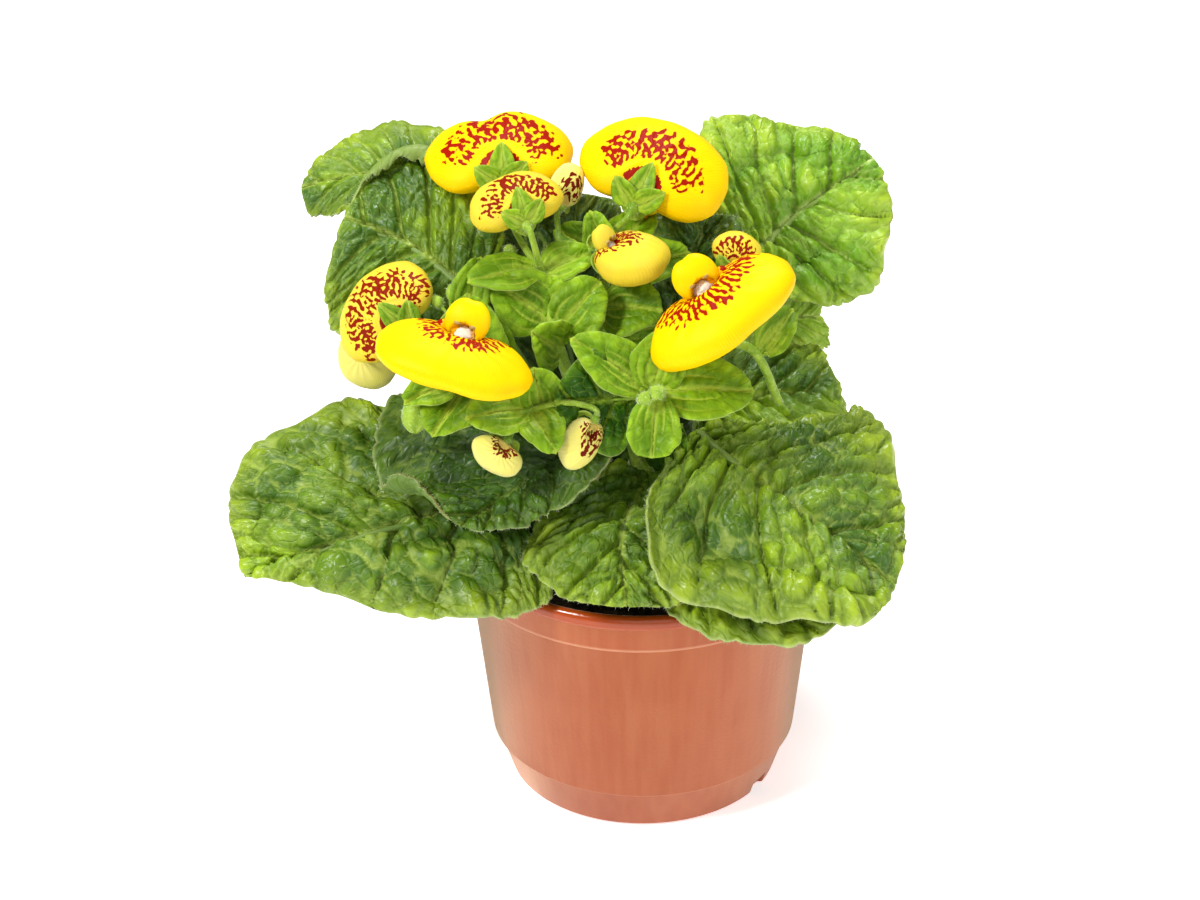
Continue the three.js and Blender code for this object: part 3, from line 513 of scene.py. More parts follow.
def blade_sheet(leaf, t, s):
    """Where a blade's points lie: t runs from stalk to tip, s from -1 at one margin to 1 at the other."""
    spine, run = through(leaf["rib"], t**1.3)
    base, tip = np.array(leaf["rib"][0], float), np.array(leaf["rib"][-1], float)
    margins = []
    for side in ("left", "right"):
        m = np.array(leaf[side], float)
        margins.append(through([base + 1.6 * unit(m[0] - base), *m, tip + 0.9 * unit(m[-1] - tip)], t)[0])
    t, v, right = t[:, None], np.abs(s)[:, None], (s > 0)[:, None]
    out = np.where(right, margins[1], margins[0]) - spine
    up = unit(np.where(right, np.cross(out, run), np.cross(run, out)))
    body = np.sin(np.pi * t) ** 0.6
    width = np.linalg.norm(out, axis=1)[:, None]
    broad = np.maximum(width, 1)

    def reach_of(side, start, end, power):
        """How strongly a fold or a curl of one side acts along the blade."""
        return np.sin(np.pi * ramp(t, start, end)) ** power * (right == (side == "right"))

    swell = 4 * leaf["arch"] * v * (1 - v) * body
    for side, v0, start, end, deep in leaf.get("folds", ()):
        crease = 0.7 * hump(v - v0 - 0.19, 0.13) - hump(v - v0, 0.06)
        swell = swell + deep * reach_of(side, start, end, 0.6) * crease
    ripple = leaf["wave"] * v**2 * body * np.sin(2 * np.pi * leaf.get("waves", 2.5) * t + 2.1 * right)
    lobes = 1.3 * np.sin(9.3 * t + 2.3 * right + base[0]) * np.sin(17.1 * t + base[1] + 4 * right)
    notches = np.abs(np.sin(leaf.get("scallops", 30) * (t + 0.02 * np.sin(31 * t)) * np.pi / 2 + right)) - 0.5
    teeth = leaf.get("teeth", 1.1) * body * (v**8 * notches + v**4 * lobes)
    far = v * (1 + (body * leaf.get("flare", FLARE) + teeth) / broad)
    for side, t0, half, deep in leaf.get("clefts", ()):
        far = far - v**6 * deep * ramp(half - np.abs(t - t0), 0, half) * (right == (side == "right")) / broad
    calm = np.ones_like(far)
    lift = swell + ripple - leaf.get("pleat", 0.5) / 2 * body * v
    for side, v0, start, end, turn in leaf.get("curls", ()):
        span = reach_of(side, start, end, 0.7)
        beyond = np.maximum(far - v0, 0) * width * (1 + 1.2 * span * turn / 3)
        bend = np.maximum(span * turn / ((1.03 - v0) * broad), 1e-5)
        rolled = (far > v0) & (span > 0)
        far = np.where(rolled, v0 + np.sin(beyond * bend) / bend / broad, far)
        lift = lift + np.where(rolled, (1 - np.cos(beyond * bend)) / bend, 0)
        calm = np.minimum(calm, 1 - 0.85 * ramp(v, v0 - 0.12, v0) * ramp(span, 0, 1 / 3))
    return spine + out * far + up * lift, width[:, 0], body[:, 0], calm[:, 0]


def from_seams(places):
    """How far each place is from the seams between the quilting's cushions."""
    two = np.array([noise.voronoi(Vector(p))[0][:2] for p in places])
    return two[:, 1] - two[:, 0]


def leaf_blade(bm, leaf, rows, cols, quilt, thick, seed, lanes, cell, nerved=False, number=0):
    """A grid laid on the blade, quilted between sunk veins, and given its thickness."""
    layers = bm.verts.layers
    order = layers.int.get("order") or layers.int.new("order")
    for name in LEAF_MARKS:
        layers.float.get(name) or layers.float.new(name)
    lay = layers.float_vector.get("lay") or layers.float_vector.new("lay")
    new = bmesh.ops.create_grid(bm, x_segments=cols, y_segments=rows, size=1)["verts"]
    flat = np.array([tuple(v.co)[:2] for v in new])
    j, i = np.rint((flat + 1) / 2 * (cols, rows)).astype(int).T
    t, s = np.clip(i / rows, 0.0015, 0.9985), 2 * j / cols - 1
    at, width, body, calm = blade_sheet(leaf, t, s)
    grid = np.empty((rows + 1, cols + 1, 3))
    grid[i, j] = at
    lengthwise, sideways = np.gradient(grid, axis=0), np.gradient(grid, axis=1)
    normal = unit(np.cross(sideways, lengthwise))[i, j]
    run_mm = np.linalg.norm(grid[rows, cols // 2] - grid[0, cols // 2])
    v, right = np.abs(s), s > 0
    across = v * width
    drift = np.array([noise.noise(Vector(p / 24 + seed)) for p in at])
    ruffle = np.array([noise.noise(Vector(p / 10 + seed + 9)) for p in at])
    warp = np.array([noise.noise_vector(Vector(p / 11 + seed)) for p in at])

    fan = 1 / (1 + 0.75 * (1 - v**0.7))
    lane = lanes * t**fan + 0.5 * right + 0.3 * drift * v
    gap = np.linalg.norm(lengthwise, axis=2)[i, j] * rows / (lanes * fan * np.maximum(t, 0.03) ** (fan - 1))
    from_vein = np.abs(lane - np.rint(lane)) * gap
    if nerved:
        from_vein = np.minimum(np.abs(v - 0.36), np.abs(v - 0.7)) * width + 3 * t**4
    net = np.stack([t * run_mm * 1.25 / cell, across / (1.35 * cell), 5 * right + seed + 0 * t], axis=1)
    net = net + 0.4 * warp
    seam, fine = from_seams(net), from_seams(net * (2.3, 2.3, 1) + 3.7)
    rib_line = hump(across, 1.0 + 1.2 * (1 - t))
    side_line = hump(from_vein, 0.5 + 0.35 * (1 - v)) * (1 - 0.5 * v**3)
    pillow = np.sin(ramp(seam, 0, 0.55) * np.pi / 2) ** 0.75
    dimple = np.sin(ramp(fine, 0, 0.5) * np.pi / 2)
    rise = ramp(from_vein, 0, 0.3 * gap) ** 0.7 + 1.9 * pillow * (1 - 0.8 * side_line) + 0.7 * dimple
    rise = (rise - 1.2 * side_line - rib_line - 1.4) * ramp(1 - v, 0, 0.08) * ramp(body, 0, 0.5)
    sway = (1.6 * drift * body + 1.9 * ruffle * v**3 * body * calm) * min(1, run_mm / 60)
    at = at + normal * (quilt * rise * calm + sway)[:, None]

    net_line, fine_line = 1 - ramp(seam, 0, 0.15), 1 - ramp(fine, 0, 0.12)
    lines = [0.9 * rib_line, 0.9 * side_line, 0.8 * net_line * min(1, run_mm / 75), 0.4 * fine_line]
    marks = zip(np.clip(np.maximum.reduce(lines), 0, 1), v, pillow * (0.6 + 0.4 * dimple), np.ones(len(v)))
    painted, upper = [layers.float[name] for name in LEAF_MARKS], layers.float["upper"]
    for k, (vert, values) in enumerate(zip(new, marks)):
        for layer, value in zip(painted, values):
            vert[layer] = value
        vert[order] = k
        vert[lay] = (t[k] * run_mm, across[k], 9 * right[k] + 20 * seed)
        vert.co = (at[k] + normal[k] * thick / 2) * MM
    faces = list({f for vert in new for f in vert.link_faces})
    grown = bmesh.ops.extrude_face_region(bm, geom=faces, use_keep_orig=True)["geom"]
    for vert in grown:
        if isinstance(vert, bmesh.types.BMVert):
            k = vert[order]
            vert[upper] = 0
            vert.co = (at[k] - normal[k] * thick / 2) * MM
    shell = {f for vert in new for f in vert.link_faces} | {f for f in grown if isinstance(f, bmesh.types.BMFace)}
    bmesh.ops.recalc_face_normals(bm, faces=list(shell))
    for face in shell:
        face.material_index = number


def ball(bm, turns, rings):
    """A new ball's vertices, and where they lie on it."""
    new = bmesh.ops.create_uvsphere(bm, u_segments=turns, v_segments=rings, radius=1)["verts"]
    return new, np.array([tuple(v.co) for v in new])


def put(new, places):
    """Each vertex at its place, in millimetres."""
    for vert, place in zip(new, places):
        vert.co = place * MM


def stalk(bm, points, thickness, rings, sides, ribbed=0.0):
    """A closed round stalk along the smooth curve; thickness gives its radius from end to end."""
    new, unitary = ball(bm, sides, rings + 2)
    ring = np.rint(np.arccos(np.clip(unitary[:, 2], -1, 1)) / np.pi * (rings + 2))
    t = np.clip((ring - 1) / rings, 0, 1)
    spot, run = through(points, t, False)
    steps = through(points, np.linspace(0, 1, rings + 1), False)[1]
    side = unit(np.cross(steps[0], (0.13, 0.2, 0.97) if abs(steps[0][2]) < 0.9 else (1, 0.1, 0)))
    sides_at = []
    for direction in steps:
        side = unit(side - direction * side.dot(direction))
        sides_at.append(side)
    a = np.array(sides_at)[(t * rings).round().astype(int)]
    b = np.cross(run, a)
    turn = np.arctan2(unitary[:, 1], unitary[:, 0])[:, None]
    pole = (1.0 * (ring == rings + 2) - (ring == 0))[:, None]
    radius = np.interp(t, np.linspace(0, 1, len(thickness)), thickness)[:, None] * (1 + ribbed * np.cos(4 * turn))
    radius = np.where(pole == 0, radius, 0)
    put(new, spot + radius * (np.cos(turn) * a + np.sin(turn) * b) + 0.3 * np.mean(thickness) * pole * run)


def marks_of(made, names):
    """What the mesh says at each point of the finish, by the names of its layers."""
    return {name: step(made, "Attribute", {}, attribute_name=name)["Fac"] for name in names}


def leaf_finish(name, deep, mid, fresh, vein, rim, under, gloss=0.34, margin=0.5, relief=0.00022, shine=0.42):
    """Leaf skin: deep and mid green in patches, fresher towards the margin, deep green painted as shade into the
    creases round the cushions and beside the fine net, pale veins, downy.
    """
    made = finish(name, Specular_IOR_Level=shine, Coat_Weight=0.05, Coat_Roughness=0.2)
    mark = marks_of(made, LEAF_MARKS)
    grain = grain_of(made)
    patches, mottle = clouds(made, grain, 42.0, 3.0), clouds(made, grain, 260.0, 4.0)
    lay = step(made, "Attribute", {}, attribute_name="lay")["Vector"]
    tug = clouds(made, lay, 0.35, 1.0, "Color")
    lay = step(made, "VectorMath", {0: tug, 1: (2.6, 2.6, 0.0), 2: lay}, operation="MULTIPLY_ADD")["Vector"]
    cells = cell_map(made, lay, 0.34, feature="DISTANCE_TO_EDGE")
    outer = work_out(made, "ADD", mark["margin"], band(made, patches, 0.3, 0.7, -0.12, 0.12))
    worn = work_out(made, "ADD", mark["margin"], band(made, patches, 0.5, 0.75, 0.0, 0.03))
    # The bulge mark and the cells' edges lay deep green into the creases: painted shade where the cushions dip
    # between the veins.
    skin = stains(
        made, deep, (patches, 0.35, 0.68, 1.0, mid), (outer, margin, 1.0, 0.62, fresh),
        (mottle, 0.45, 0.75, 0.15, fresh), (mark["bulge"], 0.8, 0.25, 0.5, deep), (cells, 0.2, 0.04, 0.14, deep),
        (mark["vein"], 0.3, 0.85, 0.55, vein), (cells, 0.06, 0.0, 0.15, vein),
        (mark["margin"], 0.975, 1.0, 0.4, MARGIN_PALE), (worn, 1.0, 1.02, 0.8, rim),
        (mark["upper"], 0.6, 0.4, 0.72, under),
    )
    tissue = work_out(made, "ADD", band(made, cells, 0.0, 0.22), work_out(made, "MULTIPLY", mottle, 0.5))
    coat(made, skin, band(made, mark["bulge"], 0.1, 1.0, gloss + 0.2, gloss), tissue, relief)
    return made


def comb(pick, spot, normal, low, high, spread=0.4):
    """Where one hair stands: its root, its lean off the skin's normal, and its length in millimetres."""
    tilt = (normal + spread * Vector([pick.uniform(-1, 1) for _ in range(3)])).normalized()
    turn = tilt.to_track_quat("Z", "Y").to_matrix().to_4x4()
    return Matrix.Translation(spot) @ turn @ Matrix.Scale(pick.uniform(low, high) * MM, 4)


mature = leaf_finish("mature_leaf", "#3d640a", "#92b41e", "#acc226", "#b2c650", RIM_BROWN, "#7f984a")
# Painted shade and painted light: darker and lighter copies of the leaf greens, for the leaves in shade and the
# leaves in the sun.
shaded = leaf_finish("shaded_leaf", "#213f03", "#3c6607", "#668a10", "#8aa238", RIM_BROWN, "#66803a")
sunlit = leaf_finish("sunlit_leaf", "#669a12", "#aece34", "#bed034", "#c8d878", RIM_BROWN, "#98ac5a")
whisker = bmesh.new()
bmesh.ops.create_cone(whisker, cap_ends=False, segments=3, radius1=HAIR_ROOT, radius2=0.0, depth=1)
bmesh.ops.translate(whisker, verts=whisker.verts, vec=(0, 0, 0.5))
bmesh.ops.remove_doubles(whisker, verts=whisker.verts, dist=1e-5)
hair = as_mesh("whisker", whisker)
fuzz = finish("plant_hair", Roughness=0.5, Sheen_Weight=0.5)
coat(fuzz, blend(fuzz, clouds(fuzz, grain_of(fuzz), 300.0), "#cfe0a0", "#f4f8dc"))

noise.seed_set(QUILT_SEED)
for number, (name, leaf) in enumerate(ROSETTE.items()):
    bm = bmesh.new()
    rows, cols = LARGE_GRID if name in LARGE else SMALL_GRID
    leaf_blade(
        bm, leaf, rows, cols, leaf.get("quilt", 1.3), BLADE_THICKNESS, 10 * number, leaf.get("lanes", 7),
        leaf.get("cell", 6.4),
    )
    bm.normal_update()
    margin, upper = bm.verts.layers.float["margin"], bm.verts.layers.float["upper"]
    order = bm.verts.layers.int["order"]
    rim = sorted((v for v in bm.verts if v[margin] > 0.999), key=lambda v: (v[order], v[upper]))
    edge = [(v.co.copy(), v.normal.copy()) for v in rim]
    pick = random.Random(number + 30)
    down = [comb(pick, *pick.choice(edge), *HAIR_LENGTHS, 0.6) for _ in range(MARGIN_HAIRS)]
    (rx, ry), a = leaf["root"], np.array(leaf["rib"][0], float)
    knee = [(rx * 2 + a[0]) / 3, (ry * 2 + a[1]) / 3, 78 + (a[2] - 78) * 0.45]
    under = through(leaf["rib"], np.array([0.12, 0.3, 0.55, 0.9]))[0]
    way = [(rx, ry, 67), knee, a - (0, 0, 1.2), *(under - (0, 0, 1.5))]
    stalk(bm, way, (2.3, 2, 1.9, 1.5, 1, 0.5), 44, 10, 0.05)
    stack(bm, hair, down, 1)
    skin = sunlit if name in SUNLIT else shaded if name in SHADED else mature
    piece(name + "_blade", bm, [skin, fuzz], "leaf_green", name)


# ------------------------------------------------------------------------------------------- blooms
# Pouch-shaped blooms. The lower lip is an inflated slipper of thin waxy petal, blotched dark red round
# its mouth; the upper lip is a small cup over the white throat. Ripe ones are full yellow.
FLAPS = dict(bloom_front=1, bloom_right=-1)  # the side of the mouth where an orange flap stands
UPPER_SHARE, LOWER_SHARE = 0.42, 0.58  # how much of a pouch's thickness lies over and under its seam
HOOD, HOOD_LEAN = 0.29, 0.5
BLOOM_MARKS = ("field", "ring", "rho", "below", "throat", "lip")
THROAT_WHITE = "#fffbe6"
BLOOM_GRID, BUD_GRID = (112, 72), (64, 40)  # steps round the pouch's middle, and from side to side
BLOOMS = dict(  # spots: where the blotches start and fade along the pouch, and how far round they spread
    bloom_top_left=dict(
        at=(-44, 16, 206), far=(-0.1, 0.88, 0.45), face=(0, -0.45, 0.89), spots=(0.38, 0.8, 0.95),
        width=48, length=38, thick=15, mouth=-1, notch=0.2, ripe=True,
    ),
    bloom_top_right=dict(
        at=(-1, 4, 204.5), far=(0.4, 0.73, 0.54), face=(0, -0.6, 0.8), spots=(0.36, 0.74, 0.9),
        width=49, length=38, thick=16, mouth=-1, notch=0.03, ripe=True,
    ),
    bloom_upper_left=dict(
        at=(-36, -14, 206), far=(-0.35, 0.8, 0.5), face=(0, -0.53, 0.85), spots=(0.38, 0.8, 1.05),
        width=30, length=22, thick=12, mouth=-1, notch=0.05,
    ),
    bloom_right=dict(
        at=(19, -30, 189.5), far=(0.35, -0.93, -0.05), face=(-0.47, -0.22, 0.85), spots=(0.26, 0.66, 1.3),
        width=51, length=32, thick=15, notch=0.04, ripe=True,
    ),
    bloom_left=dict(
        at=(-74, -20, 172), far=(-0.71, 0.63, 0.3), face=(-0.33, -0.68, 0.66), spots=(0.36, 0.82, 1.25),
        width=36, length=29, thick=14, mouth=-1, notch=0.05,
    ),
    bloom_front=dict(
        at=(-53, -48, 183), far=(-0.25, -0.95, -0.05), face=(0.2, -0.1, 0.97), spots=(0.2, 0.54, 1.45),
        width=49, length=31, thick=13, notch=0.06, ripe=True,
    ),
    bloom_centre=dict(
        at=(-11, -12, 195), far=(0.82, -0.4, -0.2), face=(-0.15, -0.1, 0.98), spots=(0.26, 0.56, 1.3),
        width=23, length=25, thick=13, notch=0.02, waist=0.2, hood=0.42,
    ),
    bloom_left_lower=dict(
        at=(-83, -4, 160), far=(-0.75, -0.2, -0.65), face=(-0.3, -0.85, 0.4), spots=(0.05, 0.22, 1.6),
        width=22, length=21, thick=12, notch=0, waist=0.15, hood=0,
    ),
    bloom_behind_right=dict(
        at=(29, -5, 186), far=(0.3, 0.5, 0.8), face=(0, -0.8, 0.5), spots=(0.3, 0.8, 1.2),
        width=16, length=13, thick=9, notch=0.03, waist=0.2, hood=0, mouth=-1,
    ),
    bud_top=dict(
        at=(-24.5, 9, 202), far=(0.4, 0.35, 0.85), face=(0.4, -0.85, 0.3), spots=(0.3, 0.75, 0.9),
        width=11, length=15, thick=9, notch=0, waist=0.1, hood=0,
    ),
    bud_front_left=dict(
        at=(-42, -55, 149), far=(-0.5, -0.6, -0.6), face=(0.2, -0.7, 0.5), spots=(0.15, 0.5, 1.5),
        width=17, length=11, thick=10, notch=0, waist=0.15, hood=0,
    ),
    bud_front_centre=dict(
        at=(-15, -52, 154), far=(-0.35, -0.5, -0.8), face=(0.5, -0.8, 0.1), spots=(0.15, 0.6, 1.2),
        width=13, length=18, thick=10, notch=0, waist=0.15, hood=0,
    ),
)


def smooth(x, low, high):
    """0 below low, 1 above high, with a soft start and end."""
    u = ramp(x, low, high)
    return u**2 * (3 - 2 * u)


def bloom_axes(flower):
    """The bloom's own axes and hinge: y to the far end of the pouch, z out of its spotted side."""
    z = unit(np.array(flower["face"], float))
    y = np.array(flower["far"], float)
    y = unit(y - z * y.dot(z))
    return np.stack([np.cross(y, z), y, z]), np.array(flower["at"], float)


def pouch(bm, flower, seed, turns, rings):
    """The inflated lower lip, with its folds and the marks for its blotches."""
    w, l, thick, mouth = flower["width"], flower["length"], flower["thick"], flower.get("mouth", 1)
    near, reach, spread = flower["spots"]
    fine = 1 if flower.get("ripe") else 1.4 if w > 25 else 1.5 if flower.get("hood") else 1.8
    axes, hinge = bloom_axes(flower)
    new, unitary = ball(bm, turns, rings)
    x, y, z = unitary.T
    a, rho = np.arctan2(x, y), np.hypot(x, y) ** 0.8
    cleft = flower["notch"] * hump(a + 0.2, 0.3)
    crimp = 1 + 0.018 * np.sin(a * 5 + 1.7 * seed) * rho**4 + 0.005 * np.sin(a * 13 + seed) * rho**6
    crimp = crimp + 0.002 * np.sin(a * 31 + 2 * seed) * rho**8
    out = rho * crimp * (1 - cleft - flower.get("waist", 0.3) * hump(np.pi - np.abs(a), 0.5))
    px = w / 2 * out * np.sin(a)
    py = l / 2 * (out * np.cos(a) + 1) - l * 0.14
    dip = np.where(z * mouth > 0, 0.3 * thick * hump(px, 0.17 * w) * hump(py - 0.12 * l, 0.14 * l) * mouth, 0)
    bend = l * (0.12 * (py / l) ** 2 + 0.1 * (2 * px / w) ** 2)
    fold = 0.012 * thick * np.sin(a * 15 + seed) * np.sin(np.pi * rho) ** 2
    pz = z * thick * np.where(z > 0, UPPER_SHARE, LOWER_SHARE) * (1 - 2 * cleft * rho) - dip - bend + fold
    put(new, np.stack([px, py, pz], axis=1) @ axes + hinge)

    angle, from_hinge = np.arctan2(px, np.maximum(py + 0.04 * l, 1e-3)), py + 0.04 * l
    far, aside = np.hypot(px / (0.52 * w), from_hinge / (0.88 * l)), np.abs(angle)
    field = smooth(far, near, near + 0.08) * (1 - smooth(far, reach, reach + 0.24))
    # The rho and below marks carry the orange painted shade at the rim and under the pouch; the lip mark carries
    # orange painted shade in the pouch's mouth.
    marks = dict(
        field=field * (1 - smooth(aside, spread, 1.4 * spread)) * smooth(z, 0.02, 0.16),
        ring=hump(far - 0.27, 0.055) * (1 - smooth(aside, 0.75, 1.25)) * smooth(z, 0.05, 0.2),
        rho=rho, below=smooth(-z, 0.0, 0.5), lip=(1 - smooth(far, 0.22, 0.34)) * smooth(z, 0.0, 0.2),
    )
    polar = bm.verts.layers.float_vector["polar"]
    for k, vert in enumerate(new):
        for mark, values in marks.items():
            vert[bm.verts.layers.float[mark]] = values[k]
        vert[polar] = (angle[k] * w * 0.14 * fine + 7 * seed, far[k] * l / 3.5 * fine, seed * 3.1)
    return axes, hinge


def upper_lip(bm, flower, axes, hinge):
    """The small cup over the mouth, open at its lower side."""
    mouth, r = flower.get("mouth", 1), flower.get("hood", HOOD) * flower["width"] / 2
    new, unitary = ball(bm, 40, 28)
    x, z, y = unitary.T * np.array([[1], [-1], [1]])
    puff = np.sqrt(np.clip(1 - x * x - z * z, 0, 1))
    gape = np.clip(1 - (x / 0.6) ** 2 - ((z + 0.66) / 0.56) ** 2, 0, 1)
    depth = np.where(y < 0, -0.75 * r * puff, 0.42 * r * puff - 1.05 * r * gape**0.7) - 0.3
    local = np.stack([0.98 * r * x, depth, r * z * (1 - 0.1 * hump(x, 0.25) * (z > 0))], axis=1)
    c, s = math.cos(mouth * HOOD_LEAN), math.sin(mouth * HOOD_LEAN)
    local = local @ np.array([[1, 0, 0], [0, c, -s], [0, s, c]]).T
    local = local + (0, (0.15 if mouth < 0 else 0.04) * flower["length"], mouth * 0.78 * r)
    put(new, local @ axes + hinge)
    lip, below = bm.verts.layers.float["lip"], bm.verts.layers.float["below"]
    # The lip mark paints orange shade into the hood's open hollow; below adds a touch of the underside's orange
    # painted shade.
    for k, vert in enumerate(new):
        vert[lip] = (y[k] > 0) * min(gape[k] / 0.35, 1.4)
        vert[below] = 0.2
    return r


def tuft(bm, r, mouth, seed, axes, hinge):
    """The white woolly lump in the throat."""
    throat = bm.verts.layers.float["throat"]
    new, unitary = ball(bm, 24, 16)
    ragged = np.array([[1 + 0.35 * noise.noise(Vector(p) * 5 + Vector((seed, 0, 0)))] for p in unitary])
    local = r * ((0, 0.3, 0.2 * mouth) + ragged * unitary * (0.46, 0.4, 0.3 * mouth))
    put(new, local @ axes + hinge)
    for vert in new:
        vert[throat] = 1


def stamens(bm, r, mouth, axes, hinge):
    """Two short filaments, each with its anther across the top."""
    for side in (-1, 1):
        foot = np.array([side * 0.1 * r, 0.1 * r, mouth * 0.3 * r])
        head = np.array([side * 0.34 * r, 0.5 * r, mouth * 0.75 * r])
        way = [p @ axes + hinge for p in (foot, (foot + head) / 2 + (side * 0.4, 0, mouth * 0.4), head)]
        stalk(bm, way, (0.35, 0.3, 0.3), 8, 6)
        stalk(bm, [way[2] + axes[0] * d for d in (-0.9, 0, 0.9)], (0.5, 0.75, 0.5), 6, 8)


def flap(bm, r, side, axes, hinge):
    """The orange two-lobed flap beside the mouth, red at its end."""
    lip, ring = bm.verts.layers.float["lip"], bm.verts.layers.float["ring"]
    new, unitary = ball(bm, 28, 18)
    x, y, z = unitary.T
    dent = 1 - 0.35 * hump(x, 0.4)
    local = np.stack([side * (0.72 + 0.62 * x), 0.22 + 0.42 * y * dent, 0.12 + 0.5 * z * dent], axis=1) * r
    put(new, local @ axes + hinge)
    for k, vert in enumerate(new):
        vert[lip] = 1
        vert[ring] = 1.2 * (x[k] > 0.5) * (abs(y[k]) < 0.85)


def petal_finish(name, sun, edge, base, blotch, orange_halo_and_shade):
    """Waxy petal: a clear ground, orange painted shade at the rim, on the underside, in the pouch's mouth and in
    the hood's hollow, and dark red blotches.
    """
    made = finish(
        name, Specular_IOR_Level=0.08, Subsurface_Weight=0.1, Subsurface_Radius=(1.0, 0.75, 0.2),
        Subsurface_Scale=0.001,
    )
    mark = marks_of(made, BLOOM_MARKS)
    polar = step(made, "Attribute", {}, attribute_name="polar")["Vector"]
    soft, drift = clouds(made, grain_of(made), 120.0, 3.0), clouds(made, polar, 0.4, 1.0)
    ragged = clouds(made, polar, 1.45, 1.0)
    brush = {"Vector": polar, "Scale": 0.6, "Frequency": 1.8, "Anisotropy": 0.5, "Orientation": 0.0}
    level = step(made, "MapRange", {"Value": mark["field"], "To Min": -1.14, "To Max": -0.52})["Result"]
    level = work_out(made, "MULTIPLY_ADD", drift, 0.26, level)
    level = work_out(made, "MULTIPLY_ADD", ragged, 0.86, level)
    spread = work_out(made, "ADD", level, step(made, "TexGabor", brush)["Value"])
    arc = work_out(made, "ADD", mark["ring"], band(made, ragged, 0.3, 0.6, 0.15, 0.45))
    spots = work_out(made, "MAXIMUM", band(made, spread, 0.5, 0.53), band(made, arc, 0.9, 0.96))
    # The edge colour is orange painted shade at the rim and on the underside.
    skin = stains(
        made, sun, (soft, 0.35, 0.7, 0.5, base), (mark["rho"], 0.84, 1.0, 0.45, edge),
        (mark["below"], 0.1, 1.0, 0.4, edge),
    )
    # Orange painted shade in the hood's hollow and the pouch's mouth, by the lip mark, and the whole flap orange.
    skin = blend(made, work_out(made, "MULTIPLY", mark["lip"], 0.4), skin, orange_halo_and_shade)
    skin = stains(made, skin, (spread, 0.42, 0.5, 0.3, orange_halo_and_shade))
    skin = blend(made, mark["throat"], blend(made, spots, skin, blotch), THROAT_WHITE)
    ribs = step(made, "TexWave", {"Vector": polar, "Scale": 1.3, "Distortion": 2.0, "Detail": 2.0})["Fac"]
    coat(made, skin, band(made, spots, 0.0, 1.0, 0.45, 0.4), ribs, 0.00004)
    return made


ripe_petal = petal_finish("ripe_petal", "#ffd600", "#ffc600", "#fdcb00", "#9e1500", "#ff7000")
pale_petal = petal_finish("pale_petal", "#e8d238", "#dcbc28", "#e4ca4e", "#881a00", "#e08a20")
cream_petal = petal_finish("cream_petal", "#e6dc6c", "#dcd694", "#e0d67c", "#6e1604", "#c89040")
anther = finish("anther", Roughness=0.7)
dust = clouds(anther, grain_of(anther), 1500.0)
coat(anther, blend(anther, dust, "#8a6430", "#d8bd6c"), None, dust, 0.0002)
for number, (name, flower) in enumerate(BLOOMS.items()):
    bm = bmesh.new()
    for mark in BLOOM_MARKS:
        bm.verts.layers.float.new(mark)
    bm.verts.layers.float_vector.new("polar")
    ripe, hooded, mouth = flower.get("ripe"), flower.get("hood", HOOD), flower.get("mouth", 1)
    axes, hinge = pouch(bm, flower, number + 1, *(BLOOM_GRID if flower["width"] > 20 else BUD_GRID))
    if hooded:
        r = upper_lip(bm, flower, axes, hinge)
        tuft(bm, r, mouth, number, axes, hinge)
        anthers = bmesh.new()
        stamens(anthers, r, mouth, axes, hinge)
        if name in FLAPS:
            flap(bm, r, FLAPS[name], axes, hinge)
        join(bm, anthers, 1)
    skin = ripe_petal if ripe else pale_petal if hooded or "mouth" in flower else cream_petal
    piece(name + "_petals", bm, [skin, anther], "yellow_petal" if ripe else "cream_petal", name)


